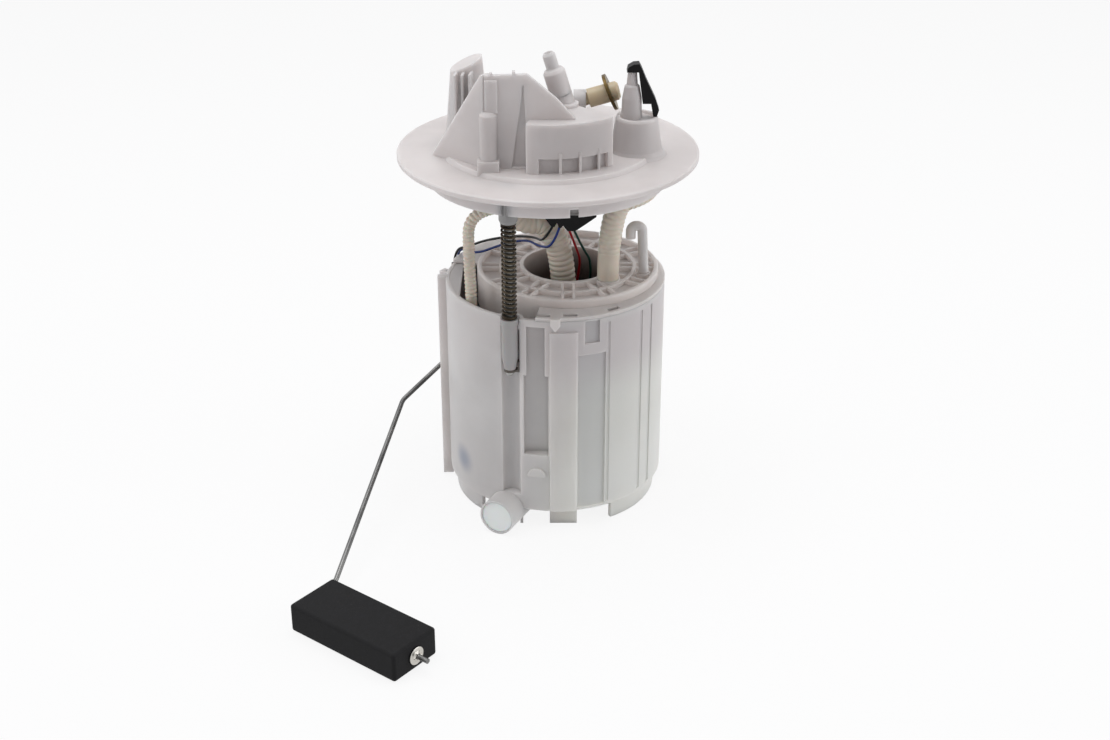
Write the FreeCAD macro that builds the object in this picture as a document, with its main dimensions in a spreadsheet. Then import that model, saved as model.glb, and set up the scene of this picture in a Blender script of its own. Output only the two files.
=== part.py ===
"""In-tank fuel pump module: flange on two sprung rods over a reservoir with pump and level sender.

Millimetres, +Z up. The origin is the centre of the flange's seating face. The module stands on its
feet at the height -stand_drop, and the viewer's side is -Y.
"""

import math
import os
import re

import FreeCAD, Part
import Sketcher
from FreeCAD import Placement, Rotation, Vector

doc = FreeCAD.newDocument("fuel_pump_module")
sheet = doc.addObject("Spreadsheet::Sheet", "dims")

SIZES = {
    "mounting flange": {
        "flange_radius": 75, "flange_thick": 3, "flange_edge": 0.6,
        "platform_radius": 53, "platform_rise": 2, "platform_slope": 1.5,
        "recess_radius": 50, "recess_depth": 2,
        "neck_radius": 60, "neck_wall": 2.5, "neck_depth": 11, "seat_step": 0.5,
    },
    "socket tower at the left rear": {
        "tower_x": -40, "tower_y": 10, "tower_turn": 62, "tower_lean": 2,
        "tower_long": 15, "tower_wide": 10, "tower_top_long": 9.5, "tower_top_wide": 6.8,
        "tower_height": 46, "tower_wall": 1.6, "tower_crown": 12, "tower_slant": 8,
        "tower_rib": 1.2,
    },
    "plug shroud with its wing and front wall": {
        "shroud_left": -29.5, "shroud_right": -9.5, "shroud_front": -36.2, "shroud_back": -13,
        "shroud_wall": 2.2, "shroud_height": 50.8, "shroud_back_height": 42, "shroud_floor": 22,
        "wing_x": -55.6, "wing_y": -9, "wing_turn": -45, "wing_length": 37, "wing_thick": 2.6,
        "fin_reach": 13, "fin_foot": 30, "fin_knee_x": 4.5, "fin_knee": 39.5,
        "column_radius": 4.2, "column_proud": 2.6, "column_height": 34, "column_slim": 6,
        "gap_x": -11.4, "gap_top": 46, "gap_left": -17, "gap_right": -8.8, "gap_depth": 1.5,
    },
    "curved valve housing in front": {
        "drum_radius": 44, "drum_inner": 20, "drum_start": -103.5, "drum_sweep": 58.5,
        "drum_height": 29.5, "vent_slot_height": 7.5, "vent_slot_depth": 2.2, "vent_rib": 1.3,
        "block_x": 11, "block_y": -9, "block_radius": 14, "block_height": 22.8,
        "collar_x": 9.3, "collar_y": -14, "collar_radius": 5.6, "collar_height": 31,
    },
    "valve boss and its post": {
        "boss_x": 43.4, "boss_y": -8, "boss_radius": 13.2, "boss_top_radius": 9.8,
        "boss_height": 22.5, "boss_rim": 1.2,
        "post_x": 40.8, "post_radius": 5.2, "post_mid_radius": 3.6, "post_top_radius": 2.2,
        "post_step": 37.5, "post_height": 44.6,
        "clip_wide": 6, "clip_gap": 0.15,
    },
    "fuel outlet nipple": {
        "nipple_x": 6.4, "nipple_y": -12, "nipple_z": 34.4, "nipple_lean": -17,
        "nipple_body": 5.4, "nipple_shoulder": 13.5, "nipple_radius": 3.15, "nipple_length": 21.5,
        "nipple_bore": 2,
    },
    "return port": {
        "port_x": 12.6, "port_y": 0.6, "port_radius": 4.9, "port_body": 6,
        "port_wall": 1, "port_lean": 74, "sleeve_radius": 4.7, "sleeve_neck": 3.1, "sleeve_in": 1,
        "sleeve_step": 2.5, "sleeve_length": 18, "sleeve_bore": 2.4,
        "sleeve_round": 1.2,
        "port_clip_at": 12.6, "port_clip_lean": 67, "port_clip_radius": 9.2,
        "port_clip_thick": 1.6, "port_clip_play": 0.4,
    },
    "guide rods, springs and their seats": {
        "rod_front_x": -18.7, "rod_front_y": -51.8, "rod_rear_x": 34, "rod_rear_y": 43.4,
        "rod_radius": 2.25, "rod_end": -97, "rod_fit": 0.08,
        "socket_radius": 4.6, "socket_bottom": -16.2, "socket_notch": 0.4,
        "spring_radius": 3.85, "spring_wire": 1, "spring_ridges": 11, "spring_play": 0.1,
        "bush_radius": 4.1, "bush_tip": 3, "bush_taper": 7, "bush_end": -93.3,
        "bush_collar": 4.6, "bush_collar_thick": 3,
        "stop_radius": 3, "stop_thick": 1.2, "stop_play": 0.3, "stop_tab_in": 3.75, "stop_arm_in": 2.6,
        "stop_tab_out": 4.6, "stop_tab_wide": 3.2, "stop_tab_rise": 4,
        "niche_radius": 5, "niche_wall": 1.8, "niche_bottom": -165, "ledge_thick": 2.5,
    },
    "reservoir bowl": {
        "bowl_x": 3.6, "bowl_radius": 56.3, "bowl_wall": 2, "bowl_top": -66, "bowl_bottom": -174,
        "bowl_floor": 2.5, "stand_drop": 184,
        "skirt_radius": 53, "skirt_wall": 2, "panel_left": 0.8, "panel_right": 14.8,
        "panel_proud": 1.2, "panel_top": -72, "foot_front": 50.5, "foot_deep": 7,
        "spike_x": -13.7, "spike_wide": 1.4,
        "slot_left": -10.6, "slot_right": -1.6, "slot_knee": -96, "slot_wide_left": -12,
        "slot_wide_right": 0.2, "slot_bottom": -141, "slot_top": -69.5, "slot_depth": 6,
        "window_left": 18.2, "window_right": 25.4, "window_top": -67, "window_bottom": -79,
        "latch_left": 14.8, "latch_right": 28.6, "latch_top": -85,
        "latch_depth": 0.8, "window_depth": 1.1, "groove_wide": 1.4, "groove_depth": 0.35,
        "ledge_x": -44.4, "ledge_plate": 2,
        "button_x": -5.8, "button_z": -153, "button_radius": 4.6, "button_proud": 1,
        "rail_x": -57, "rail_thick": 3, "nest_x": -38.2, "nest_y": -29, "nest_radius": 4.6,
        "nest_top": -86, "nest_tall": 12,
    },
    "inlet stub": {
        "stub_turn": -26.2, "stub_radius": 9.4, "stub_wall": 1, "stub_ledge": 1, "stub_reach": 68,
        "stub_root": 40, "stub_z": -174.4, "stub_disc_thick": 1.6, "stub_play": 0.1,
    },
    "reservoir cap": {
        "cap_x": 10, "cap_y": 2, "cap_radius": 46.5, "cap_top": -60, "cap_plate": 2,
        "cap_recess": 3, "cap_rim": 2.2, "cap_mid_radius": 33.4, "cap_mid_wall": 1.8,
        "cap_hole": 22.6, "collar_wall": 2, "collar_bottom": -80, "collar_lip": 1.6,
        "cap_skirt_bottom": -79, "cap_rib": 1.3, "cap_rib_gap": 4.2, "cap_rib_pairs": 12,
        "deck_thick": 1.6, "deck_start": -100, "deck_sweep": 262, "deck_lap": 0.6,
        "slit_long": 7, "slit_wide": 3, "tab_x": 3.6, "tab_wide": 5, "tab_drop": 5,
        "tab_thick": 1.6, "return_x": 30.2, "return_y": -17, "return_boss": 6.2,
        "spout_x": 48.5, "spout_y": -9.5, "spout_boss": 3.4,
    },
    "hooked spout": {
        "spout_radius": 2.5, "spout_bore": 1.5, "spout_seat": 0.15, "spout_lean": 1.2,
        "spout_rise": 25.2, "spout_over": 6.9, "spout_drop": 6.4,
    },
    "electric pump": {
        "can_radius": 19, "can_wall": 1, "can_top": -84, "can_bottom": -152, "can_lip": 1.6,
        "cover_top": -79, "cover_bottom": -92, "inlet_top": -143, "fit": 0.1,
        "outlet_x": -2, "outlet_y": -7, "outlet_radius": 4.25, "outlet_top": -66,
        "outlet_bore": 2.6, "nozzle_radius": 3.5, "nozzle_end": -162, "nozzle_x": -7,
        "nozzle_y": 6, "nozzle_bore": 2.2, "bearing_deep": 3.5, "shaft_top": -88,
        "chamber_top": -134, "chamber_bottom": -139,
        "impeller_radius": 15.5, "impeller_thick": 3.5, "impeller_play": 0.2, "vanes": 24,
        "vane_deep": 2.4, "vane_wide": 1.6,
        "shaft_radius": 2, "shaft_play": 0.05, "armature_radius": 13.6, "armature_top": -101,
        "armature_bottom": -127, "armature_slots": 8, "slot_wide": 2.2, "slot_in": 4.5,
        "commutator_radius": 7, "commutator_top": -93.5, "commutator_bottom": -98.5,
        "magnet_inner": 14.6, "magnet_sweep": 130, "brush_wide": 4, "brush_long": 6,
        "brush_play": 0.15, "brush_wall": 1, "sleeve_bottom": -92, "sleeve_top": -77.5,
        "strainer_radius": 17, "strainer_thick": 5.4, "strainer_flat": 11, "strainer_edge": 1.4,
        "strainer_z": -164.6, "cradle_wall": 2, "cradle_top": -146, "cradle_wide": 6,
        "cradle_ledge": 2.4,
    },
    "foot valve and jet": {
        "valve_x": 30, "valve_y": 24, "valve_radius": 8, "valve_thick": 1.5, "valve_seat": 6,
        "valve_stem": 1.9, "valve_play": 0.2, "valve_button": 2.8, "valve_button_thick": 1,
        "spider_wide": 1.8, "spider_hub": 3.4, "valve_lift": 1.5, "jet_radius": 2.1,
        "jet_bore": 0.8, "jet_start": 30, "jet_end": 44, "jet_body": 8,
    },
    "hoses": {
        "small_port_x": -14, "small_port_y": -29, "return_port_x": 33, "return_port_y": 31,
        "pump_port_x": -22, "pump_port_y": -10, "pump_line": -33, "hose_line": -17.5,
        "small_hose": 3, "small_hose_bore": 1.9, "pump_hose": 6.5, "pump_hose_bore": 4.35,
        "return_hose": 5.7, "return_hose_bore": 3.9, "spigot_play": 0.08, "spigot_long": 12,
        "small_start": 5.7, "small_swing": 0.8, "small_upper": -46, "small_lower": -64,
        "return_line": -20, "return_side": 18, "return_depth": 9, "return_rise": 1.5,
        "return_corner": 20, "return_end": 4.3,
    },
    "inner plug and wires": {
        "plug_middle": -17.5, "plug_thick": 7, "plug_stem": 3.3, "plug_stem_x": 12.6,
        "wire_radius": 0.65,
    },
    "level sender": {
        "sender_turn": 52, "sender_face": 57, "sender_thick": 2, "sender_half": 15.2,
        "sender_top": -73, "sender_bottom": -142, "rail_half": 17.6, "rail_lip": 59.4,
        "rail_play": 0.15, "rail_wall": 2, "pivot_z": -125,
        "pin_radius": 2.2, "pin_play": 0.08, "hub_radius": 7.5, "hub_thick": 1.9,
        "card_thick": 0.8, "card_half": 13, "card_bottom": -112, "card_top": -99,
        "wiper_play": 0.05, "wiper_contact": 2, "wiper_reach": 20, "wiper_wide": 2.4, "wiper_thick": 0.5,
        "wiper_root": 3.5, "wiper_lean": 30, "hub_block": 7.2, "hub_block_tall": 2.8,
        "hub_block_thick": 4.9, "hub_play": 0.1, "pin_head": 3.2, "pin_head_thick": 0.8,
    },
    "float arm and float": {
        "arm_radius": 1.25, "arm_plane": 62, "arm_start": 7, "arm_slope": 16.45, "arm_bend": 47.2,
        "arm_corner": 8.6, "arm_bend_radius": 10, "arm_corner_radius": 4, "arm_side": 19.5,
        "arm_side_radius": 6, "arm_side_rise": 1, "float_t": 174.7,
        "float_z": -176.6, "float_long": 66, "float_wide": 28.5,
        "float_tall": 14.8, "float_near": 5, "float_bore_play": 0.1, "float_round": 1.6,
        "arm_stub": 7.5, "push_nut_radius": 4.4, "push_nut_thick": 1, "push_nut_play": 0.4,
    },
}

row = 0
for group, cells in SIZES.items():
    row += 1
    sheet.set(f"A{row}", group)
    for alias, number in cells.items():
        row += 1
        sheet.set(f"A{row}", alias.replace("_", " "))
        sheet.set(f"B{row}", str(number))
        sheet.setAlias(f"B{row}", alias)
doc.recompute()
ALIASES = {alias for cells in SIZES.values() for alias in cells}


def tied(text):
    """The expression with every alias of the sheet written as a reference to its cell."""
    return re.sub(r"[a-z][a-z_]*", lambda m: "dims." + m[0] if m[0] in ALIASES else m[0], text)


def size(alias):
    return float(sheet.get(alias))


def bind(thing, **properties):
    for name, text in properties.items():
        thing.setExpression(name, tied(text))
    return thing


def put(thing, x="0", y="0", z="0", axis=(0, 0, 1), turn="0"):
    """Place an object at bound coordinates, turned about an axis through its own origin."""
    base = f"vector({x}; {y}; {z})"
    spin = f"rotation(vector({axis[0]}; {axis[1]}; {axis[2]}); {turn})"
    thing.setExpression("Placement", tied(f"placement({base}; {spin})"))
    return thing


def cylinder(name, radius, height, x="0", y="0", z="0", axis=(0, 0, 1), turn="0", sweep="360"):
    thing = doc.addObject("Part::Cylinder", name)
    bind(thing, Radius=radius, Height=height, Angle=sweep)
    return put(thing, x, y, z, axis, turn)


def cone(name, low, high, height, x="0", y="0", z="0"):
    thing = doc.addObject("Part::Cone", name)
    bind(thing, Radius1=low, Radius2=high, Height=height)
    return put(thing, x, y, z)


def block(name, length, width, height, x="0", y="0", z="0", axis=(0, 0, 1), turn="0"):
    thing = doc.addObject("Part::Box", name)
    bind(thing, Length=length, Width=width, Height=height)
    return put(thing, x, y, z, axis, turn)


def fused(name, things):
    thing = doc.addObject("Part::MultiFuse", name)
    thing.Shapes = things
    thing.Refine = True
    return thing


def less(name, base, tools):
    """The base with every tool cut away."""
    tool = tools[0] if len(tools) == 1 else fused(name + "_tools", tools)
    thing = doc.addObject("Part::Cut", name)
    thing.Base = base
    thing.Tool = tool
    return thing


def shared(name, base, tool):
    thing = doc.addObject("Part::Common", name)
    thing.Base = base
    thing.Tool = tool
    return thing


def outline(body, role, name, points, lift=None):
    """A closed outline of straight lines, each corner held by two bound distances."""
    sketch = body.newObject("Sketcher::SketchObject", name)
    plane = [item for item in body.Origin.OriginFeatures if item.Role == role][0]
    sketch.AttachmentSupport = [(plane, "")]
    sketch.MapMode = "FlatFace"
    if lift:
        sketch.setExpression("AttachmentOffset.Base.z", tied(lift))
    count = len(points)
    start = [
        Vector(50 * math.cos(2 * math.pi * (n + 0.3) / count),
               50 * math.sin(2 * math.pi * (n + 0.3) / count), 0)
        for n in range(count)
    ]
    for n in range(count):
        sketch.addGeometry(Part.LineSegment(start[n], start[(n + 1) % count]), False)
    for n in range(count):
        sketch.addConstraint(Sketcher.Constraint("Coincident", n, 2, (n + 1) % count, 1))
    for n, corner in enumerate(points):
        for kind, text, first in zip(("DistanceX", "DistanceY"), corner, start[n]):
            index = sketch.addConstraint(Sketcher.Constraint(kind, -1, 1, n, 1, first))
            sketch.setExpression(f"Constraints[{index}]", tied(text))
    return sketch


def turned(name, points, x="0", y="0", z="0", axis=(0, 0, 1), turn="0"):
    """A body revolved about its own Z axis from points (radius, height)."""
    body = doc.addObject("PartDesign::Body", name)
    sketch = outline(body, "XZ_Plane", name + "_profile", points)
    spun = body.newObject("PartDesign::Revolution", name + "_turned")
    spun.Profile = sketch
    spun.ReferenceAxis = (sketch, ["V_Axis"])
    spun.Angle = 360
    return put(body, x, y, z, axis, turn)


def plate(name, points, thick, x="0", y="0", z="0", turn="0", role="XZ_Plane"):
    """A body padded both ways from an upright outline (along, height), turned about Z."""
    body = doc.addObject("PartDesign::Body", name)
    sketch = outline(body, role, name + "_profile", points)
    pad = body.newObject("PartDesign::Pad", name + "_pad")
    pad.Profile = sketch
    pad.Midplane = True
    pad.setExpression("Length", tied(thick))
    return put(body, x, y, z, (0, 0, 1), turn)


def rounded_path(points, bends=None):
    """Straight runs joined by tangent arcs, as large as the runs allow or of the given radii."""
    corners = [Vector(*point) for point in points]
    edges = []
    radii = []
    start = corners[0]
    for before, here, after in zip(corners, corners[1:], corners[2:]):
        back = (before - here).normalize()
        ahead = (after - here).normalize()
        half_turn = (math.pi - back.getAngle(ahead)) / 2
        trim = 0.45 * min((before - here).Length, (after - here).Length)
        radius = trim / math.tan(half_turn)
        if bends:
            radius = bends[len(radii)]
            trim = radius * math.tan(half_turn)
        radii.append(round(radius, 1))
        centre = here + (back + ahead).normalize() * (radius / math.cos(half_turn))
        middle = centre + (here - centre).normalize() * radius
        first = here + back * trim
        last = here + ahead * trim
        edges.append(Part.LineSegment(start, first).toShape())
        edges.append(Part.Arc(first, middle, last).toShape())
        start = last
    edges.append(Part.LineSegment(start, corners[-1]).toShape())
    return Part.Wire(edges), radii


def swept(path, radius):
    """A round bar of one radius along a path, with its length checked by its volume."""
    edge = path.Edges[0]
    ring = Part.Wire(Part.makeCircle(radius, edge.valueAt(edge.FirstParameter),
                                     edge.tangentAt(edge.FirstParameter)))
    bar = path.makePipeShell([ring], True, True)
    wanted = math.pi * radius ** 2 * path.Length
    if abs(bar.Volume - wanted) > 0.01 * wanted:
        raise RuntimeError(f"a swept bar has volume {bar.Volume:.1f}, not {wanted:.1f}")
    return bar


def pipe(name, points, radius, bore=None, bends=None):
    """A hose or wire along its hand-chosen route; the radii of its bends are printed."""
    path, radii = rounded_path(points, bends)
    shape = swept(path, radius)
    if bore:
        shape = shape.cut(swept(path, bore))
    print(f"{name}: length {path.Length:.1f} mm, bend radii {radii}")
    thing = doc.addObject("Part::Feature", name)
    thing.Shape = shape
    return thing


NODES = []


def node(label, thing):
    """Keep a finished piece under the name of its file."""
    thing.Label = label
    NODES.append(thing)
    return thing


# Mounting flange: one moulding with its rim, neck, raised platform and the towers on top.
flange_disc = turned("flange_disc", [
    ("0", "recess_depth"),
    ("recess_radius", "recess_depth"),
    ("recess_radius", "seat_step"),
    ("neck_radius - neck_wall", "seat_step"),
    ("neck_radius - neck_wall", "-neck_depth"),
    ("neck_radius", "-neck_depth"),
    ("neck_radius", "0"),
    ("flange_radius - flange_edge", "0"),
    ("flange_radius", "flange_edge"),
    ("flange_radius", "flange_thick - flange_edge"),
    ("flange_radius - flange_edge", "flange_thick"),
    ("platform_radius", "flange_thick"),
    ("platform_radius - platform_slope", "flange_thick + platform_rise"),
    ("0", "flange_thick + platform_rise"),
])


def ellipse(name, long, wide, x, y, z, turn):
    ring = doc.addObject("Part::Ellipse", name)
    bind(ring, MajorRadius=long, MinorRadius=wide)
    return put(ring, x, y, z, (0, 0, 1), turn)


def tapered_oval(name, low, high, inset):
    """A leaning oval between two heights of the tower, inset from its outer face."""
    rings = []
    for end, height in (("low", low), ("high", high)):
        share = f"(({height}) - flange_thick) / (tower_height - flange_thick)"
        long = f"tower_long - (tower_long - tower_top_long) * {share} - {inset}"
        wide = f"tower_wide - (tower_wide - tower_top_wide) * {share} - {inset}"
        rings.append(ellipse(f"{name}_{end}", long, wide, "tower_x",
                             f"tower_y + tower_lean * {share}", height, "tower_turn"))
    loft = doc.addObject("Part::Loft", name)
    loft.Sections = rings
    loft.Solid = True
    loft.Ruled = True
    return loft


tower_shell = tapered_oval("tower_shell", "flange_thick", "tower_height", "0")
tower_cavity = tapered_oval("tower_cavity", "-1", "tower_height - tower_crown", "tower_wall")
tower_slope = plate("tower_slope", [
    ("tower_x - tower_long", "tower_height - tower_slant"),
    ("tower_x + tower_long / 2", "tower_height"),
    ("tower_x + tower_long / 2", "tower_height + 2"),
    ("tower_x - tower_long", "tower_height + 2"),
], "4 * tower_long", "0", "tower_y")
tower_ribs = [
    block(f"tower_rib_{n}", "tower_rib", "tower_wide + 1", "tower_height - 8",
          f"tower_x + {shift} * tower_rib", "tower_y - tower_wide - 3", "flange_thick",
          (0, 0, 1), "-8")
    for n, shift in enumerate((-5, -2, 1))
]
shroud_shell = block("shroud_shell", "shroud_right - shroud_left", "shroud_back - shroud_front",
                     "shroud_height - flange_thick", "shroud_left", "shroud_front",
                     "flange_thick")
shroud_slope = plate("shroud_slope", [
    ("shroud_front + 2 * shroud_wall", "shroud_height"),
    ("shroud_back + 1", "shroud_back_height"),
    ("shroud_back + 1", "shroud_height + 2"),
    ("shroud_front + 2 * shroud_wall", "shroud_height + 2"),
], "60", turn="90")
shroud_cavity = block("shroud_cavity", "shroud_right - shroud_left - 2 * shroud_wall",
                      "shroud_back - shroud_front - 2 * shroud_wall",
                      "shroud_height - shroud_floor + 1", "shroud_left + shroud_wall",
                      "shroud_front + shroud_wall", "shroud_floor")
shroud_keys = [
    block(f"shroud_key_{n}", "1.4", "shroud_wall", f"{rise} + 2", where, "shroud_front",
          "shroud_height - 2")
    for n, (where, rise) in enumerate((("shroud_left + 2.4", "1.2"), ("shroud_right - 7", "2")))
]
wing = plate("wing", [
    ("0", "flange_thick - 0.5"),
    ("wing_length", "flange_thick - 0.5"),
    ("wing_length", "shroud_height"),
    ("wing_length - 1.5", "shroud_height"),
    ("0.8", "flange_thick + 2"),
    ("0", "flange_thick + 1"),
], "wing_thick", "wing_x", "wing_y", "0", "wing_turn")
front_wall = plate("front_wall", [
    ("shroud_left + 2", "flange_thick"),
    ("fin_reach", "flange_thick"),
    ("fin_reach", "fin_foot"),
    ("fin_knee_x", "fin_knee"),
    ("shroud_right", "shroud_height + 0.6"),
    ("shroud_left + 2", "shroud_height"),
], "shroud_wall", "0", "shroud_front + shroud_wall / 2")
column = turned("column", [
    ("0", "flange_thick"),
    ("column_radius", "flange_thick"),
    ("column_radius", "column_height - column_radius / 2"),
    ("column_radius * 0.7", "column_height - column_radius / 6"),
    ("0", "column_height"),
], "shroud_left + 1.4", "shroud_front")
column_top = block("column_top", "column_slim", "column_proud",
                   "shroud_height - column_height - 1", "shroud_left",
                   "shroud_front - column_proud / 2", "column_height - 1")
column_foot = block("column_foot", "2 * column_radius + 2", "column_radius + 2", "7",
                    "shroud_left + 0.4 - column_radius", "shroud_front - column_radius - 1",
                    "flange_thick")
wall_gap = plate("wall_gap", [
    ("gap_x", "gap_top"),
    ("gap_left", "flange_thick + platform_rise + 1"),
    ("gap_right", "flange_thick + platform_rise + 1"),
], "2 * gap_depth", "0", "shroud_front")


def sector(name, radius, low, high, start="drum_start", sweep="drum_sweep"):
    """A slice of a cylinder about the flange's axis."""
    return cylinder(name, radius, f"{high} - ({low})", z=low, turn=start, sweep=sweep)


drum = less("drum", sector("drum_outer", "drum_radius", "flange_thick", "drum_height"),
            [sector("drum_core", "drum_inner", "0", "drum_height + 1")])
slot_floor = "flange_thick + platform_rise"
vent_ring = less("vent_ring",
                 sector("vent_outer", "drum_radius + 1", slot_floor,
                        f"{slot_floor} + vent_slot_height", "drum_start + 8", "drum_sweep - 12"),
                 [sector("vent_inner", "drum_radius - vent_slot_depth", "0", "drum_height")])
vent_ribs = [
    block(f"vent_rib_{n}", "vent_rib", "vent_slot_depth + 2", "vent_slot_height + 3",
          f"{along} - vent_rib / 2", f"-sqrt(drum_radius * drum_radius - {along} * {along}) - 0.4",
          slot_floor)
    for n, along in enumerate((6.1, 15.5, 24.4))
]
valve_block = cylinder("valve_block", "block_radius", "block_height - flange_thick",
                       "block_x", "block_y", "flange_thick")
nipple_collar = cylinder("nipple_collar", "collar_radius", "collar_height - flange_thick",
                         "collar_x", "collar_y", "flange_thick")
nipple_seat = turned("nipple_seat", [
    ("0", "-9"),
    ("nipple_body", "-9"),
    ("nipple_body", "0"),
    ("0", "0"),
], "nipple_x", "nipple_y", "nipple_z", (0, 1, 0), "nipple_lean")
boss = turned("boss", [
    ("0", "0"),
    ("boss_radius + 1.6", "0"),
    ("boss_radius + 0.3", "1.2"),
    ("boss_radius - 0.6", "3.5"),
    ("boss_top_radius + 0.6", "boss_height - flange_thick - boss_rim"),
    ("boss_top_radius", "boss_height - flange_thick"),
    ("boss_top_radius - boss_rim", "boss_height - flange_thick"),
    ("boss_top_radius - boss_rim - 0.6", "boss_height - flange_thick - boss_rim"),
    ("0", "boss_height - flange_thick - boss_rim"),
], "boss_x", "boss_y", "flange_thick")
post = turned("post", [
    ("0", "0"),
    ("post_radius", "0"),
    ("post_radius - 0.5", "(post_step - boss_height) * 0.6 + 2"),
    ("post_mid_radius", "post_step - boss_height + 2"),
    ("post_top_radius + 0.5", "post_step - boss_height + 2.8"),
    ("post_top_radius", "post_height - boss_height + 2"),
    ("0", "post_height - boss_height + 2"),
], "post_x", "boss_y", "boss_height - 2")

# Spigots under the flange for the three hoses: a straight one and two elbows.
small_elbow = [
    cylinder("small_elbow_post", "small_hose + 1", "recess_depth + 21", "small_port_x",
             "small_port_y", "-21"),
    cylinder("small_elbow_neck", "small_hose", "5.5", "small_port_x", "small_port_y",
             "hose_line", (0, 1, 0), "-90"),
    cylinder("small_elbow_spigot", "small_hose_bore - spigot_play", "15", "small_port_x",
             "small_port_y", "hose_line", (0, 1, 0), "-90"),
]
return_elbow = [
    cylinder("return_elbow_post", "return_hose", "recess_depth + 24", "return_port_x",
             "return_port_y", "-24"),
]
pump_spigot = cylinder("pump_spigot", "pump_hose_bore - spigot_play", "recess_depth + 13",
                       "pump_port_x", "pump_port_y", "-13")
rod_holes = []
for end in ("front", "rear"):
    rod_x, rod_y = f"rod_{end}_x", f"rod_{end}_y"
    rod_holes.append(cylinder(f"neck_notch_{end}", "socket_radius + socket_notch",
                              "neck_depth + seat_step + 1", rod_x, rod_y, "-neck_depth - 1"))
    rod_holes.append(cylinder(f"rod_hole_{end}", "rod_radius + rod_fit", "2", rod_x, rod_y, "-0.2"))
neck_slots = [
    block(f"neck_slot_{n}", "4", "8", "5", f"{along} - 2", side, "-neck_depth - 1")
    for n, (along, side) in enumerate((("12.6", "-neck_radius - 2"), ("22.5", "neck_radius - 6")))
]
flange_raw = fused("flange_raw", [
    flange_disc, tower_shell, *tower_ribs, less("shroud_box", shroud_shell, [shroud_slope]),
    *shroud_keys, wing, front_wall, column, column_top, column_foot, drum, valve_block,
    boss, post, *small_elbow, *return_elbow, pump_spigot,
])
return_spigot = cylinder("return_spigot", "return_hose_bore - spigot_play", "16",
                         "return_port_x", "return_port_y", "hose_line",
                         (0.7071, 0.7071, 0), "90")
flange_cored = less("flange_cored", flange_raw,
                    [tower_cavity, tower_slope, shroud_cavity, wall_gap, vent_ring,
                     *rod_holes, *neck_slots])
node("flange", fused("flange", [flange_cored, *vent_ribs, return_spigot, nipple_collar,
                                nipple_seat]))

# Contact blades in the plug shroud.
node("terminal_pins", fused("terminal_pins", [
    block(f"terminal_{n}", "0.8", "2.4", "12",
          f"(shroud_left + shroud_right) / 2 + {4 * across} - 0.4",
          f"(shroud_front + shroud_back) / 2 + {5 * deep} - 1.2", "shroud_floor")
    for n, (across, deep) in enumerate(((-1, -1), (1, -1), (-1, 1), (1, 1)))
]))

# Leaning fuel nipple with its shouldered body.
node("outlet_nipple", turned("outlet_nipple", [
    ("nipple_bore", "0"),
    ("nipple_body", "0"),
    ("nipple_body", "nipple_shoulder - 2"),
    ("nipple_body - 0.8", "nipple_shoulder - 0.6"),
    ("nipple_radius + 0.2", "nipple_shoulder"),
    ("nipple_radius", "nipple_shoulder + 0.4"),
    ("nipple_radius", "nipple_length - 1.2"),
    ("nipple_radius - 0.9", "nipple_length"),
    ("nipple_bore", "nipple_length"),
], "nipple_x", "nipple_y", "nipple_z", (0, 1, 0), "nipple_lean"))

# Return port: a pale housing on the valve block, an amber sleeve in it and its retaining clip.
node("top_port", turned("top_port", [
    ("port_radius - port_wall", "0"),
    ("port_radius", "0"),
    ("port_radius", "port_body"),
    ("port_radius - port_wall", "port_body"),
], "port_x", "port_y", "block_height + port_radius + 0.1", (0, 1, 0), "90"))
sleeve_seat = ("port_x + port_body - sleeve_in", "port_y", "block_height + port_radius")
node("port_sleeve", turned("port_sleeve", [
    ("sleeve_bore", "0"),
    ("sleeve_neck", "0"),
    ("sleeve_neck", "sleeve_step"),
    ("sleeve_radius", "sleeve_step"),
    ("sleeve_radius", "sleeve_length - sleeve_round"),
    ("sleeve_radius - sleeve_round", "sleeve_length"),
    ("sleeve_bore", "sleeve_length"),
], *sleeve_seat, (0, 1, 0), "port_lean"))
node("port_clip", turned("port_clip", [
    ("sleeve_radius + port_clip_play", "0"),
    ("port_clip_radius", "0"),
    ("port_clip_radius", "port_clip_thick"),
    ("sleeve_radius + port_clip_play", "port_clip_thick"),
], "port_x + port_body - sleeve_in + port_clip_at * sin(port_lean)", "port_y",
    "block_height + port_radius + port_clip_at * cos(port_lean)", (0, 1, 0), "port_clip_lean"))

# Black latch clip: hooked over the post and braced down to the rim of the boss.
node("post_clip", plate("post_clip", [
    ("post_x - 2.7", "post_height + clip_gap"),
    ("post_x - 2.2", "post_height + 2.4"),
    ("post_x + 0.4", "post_height + 4"),
    ("post_x + 3.2", "post_height + 4.2"),
    ("post_x + 4.3", "post_height + 2.2"),
    ("post_x + 6.8", "post_height - 3.8"),
    ("post_x + 11.4", "boss_height + 8.7"),
    ("post_x + 13.2", "boss_height + 3.5"),
    ("post_x + 12.2", "boss_height + clip_gap"),
    ("post_x + 10.4", "boss_height + clip_gap"),
    ("post_x + 9.2", "boss_height + 6.6"),
    ("post_x + 5.2", "boss_height + 6.6"),
    ("post_x + 3", "post_height + clip_gap"),
], "clip_wide", y="boss_y"))

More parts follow.
